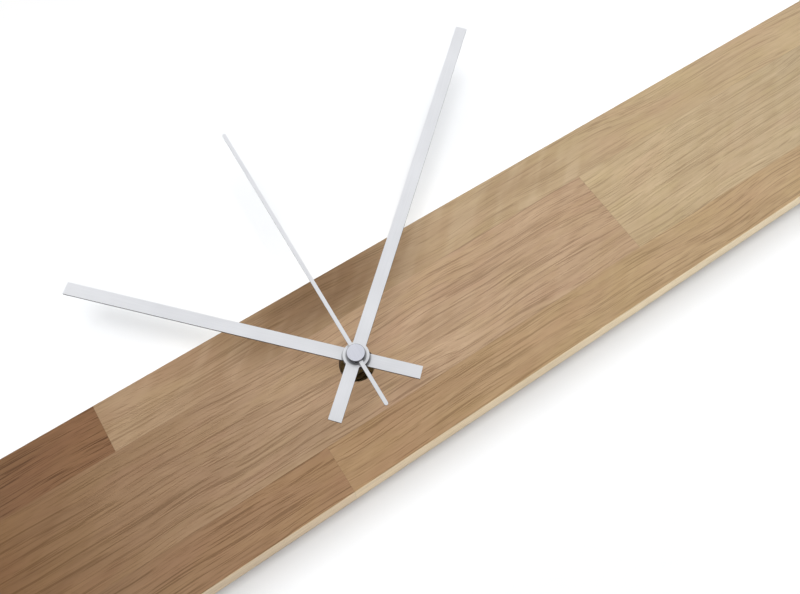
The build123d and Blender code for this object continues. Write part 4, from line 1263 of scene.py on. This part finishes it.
    def wall_material(self) -> bpy.types.Material:
        """Matt white that catches shadows from the front and can't be seen from behind.

        Returns:
            The material.
        """
        material, sheet = new_material("wall_white")
        bounce = sheet.add("ShaderNodeBsdfDiffuse", {"Color": (self.wall_bounce,) * 3})
        place = sheet.add("ShaderNodeTexCoord").outputs["Object"]
        level = sheet.ramp(sheet.math("ABSOLUTE", sheet.split(place)[2]), *self.wall_fade, *self.wall_seen)
        white = sheet.vector("MULTIPLY", sheet.join(level, level, level), self.wall_tint)
        shaded = sheet.add("ShaderNodeBsdfDiffuse", {"Color": white})
        plain = sheet.add("ShaderNodeEmission", {"Color": (1.0, 1.0, 1.0), "Strength": 1.0})
        wide, high = self.wall_shaded
        far = sheet.from_axis(sheet.vector("DIVIDE", place, (wide, 1.0, high)))
        share = sheet.ramp(far, *self.wall_plain)
        seen = sheet.add("ShaderNodeMixShader", {0: share, 1: shaded.outputs[0], 2: plain.outputs[0]})
        shown = self.seen_share(sheet)
        front = sheet.add("ShaderNodeMixShader", {0: shown, 1: bounce.outputs[0], 2: seen.outputs[0]})
        clear = sheet.add("ShaderNodeBsdfTransparent")
        backfacing = sheet.add("ShaderNodeNewGeometry").outputs["Backfacing"]
        behind = sheet.times(backfacing, shown)
        both = sheet.add("ShaderNodeMixShader", {0: behind, 1: front.outputs[0], 2: clear.outputs[0]})
        sheet.add("ShaderNodeOutputMaterial", {"Surface": both.outputs[0]})
        return material

    def build_world(self) -> None:
        """Level light all round, seen as white."""
        world = bpy.data.worlds.new("studio_air")
        world.use_nodes = True
        sheet = NodeSheet(world.node_tree)
        light = sheet.add("ShaderNodeBackground", {"Color": self.ambient_tint, "Strength": self.ambient})
        white = sheet.add("ShaderNodeBackground", {"Color": (1.0, 1.0, 1.0), "Strength": 1.0})
        shown = self.seen_share(sheet)
        both = sheet.add("ShaderNodeMixShader", {0: shown, 1: light.outputs[0], 2: white.outputs[0]})
        sheet.add("ShaderNodeOutputWorld", {"Surface": both.outputs[0]})
        bpy.context.scene.world = world

    def build_camera(self) -> None:
        """Camera at the photograph's place, below the clock and rolled."""
        turns = (self.camera_heading, self.camera_pitch, self.camera_roll)
        heading, pitch, roll = (radians(turn) for turn in turns)
        ahead = Vector((sin(heading) * cos(pitch), cos(heading) * cos(pitch), sin(pitch)))
        level = Vector((cos(heading), -sin(heading), 0.0))
        above = level.cross(ahead)
        right = level * cos(roll) - above * sin(roll)
        up = level * sin(roll) + above * cos(roll)
        turn = Matrix((right, up, -ahead)).transposed()
        data = bpy.data.cameras.new("camera")
        data.lens = self.camera_lens
        data.sensor_width = self.camera_sensor
        data.clip_start = self.camera_near
        camera = bpy.data.objects.new("camera", data)
        camera.matrix_world = Matrix.Translation(self.camera_place) @ turn.to_4x4()
        self.place(camera)
        bpy.context.scene.camera = camera


def main() -> None:
    """Dress the clock, piece by piece, and set up the studio."""
    logging.basicConfig(level=logging.INFO, format="%(name)s %(message)s")
    for part in (OakPlank(), HangerSet(), Movement(), HandSet()):
        part.dress()
    Studio().build()


if __name__ == "__main__":
    main()
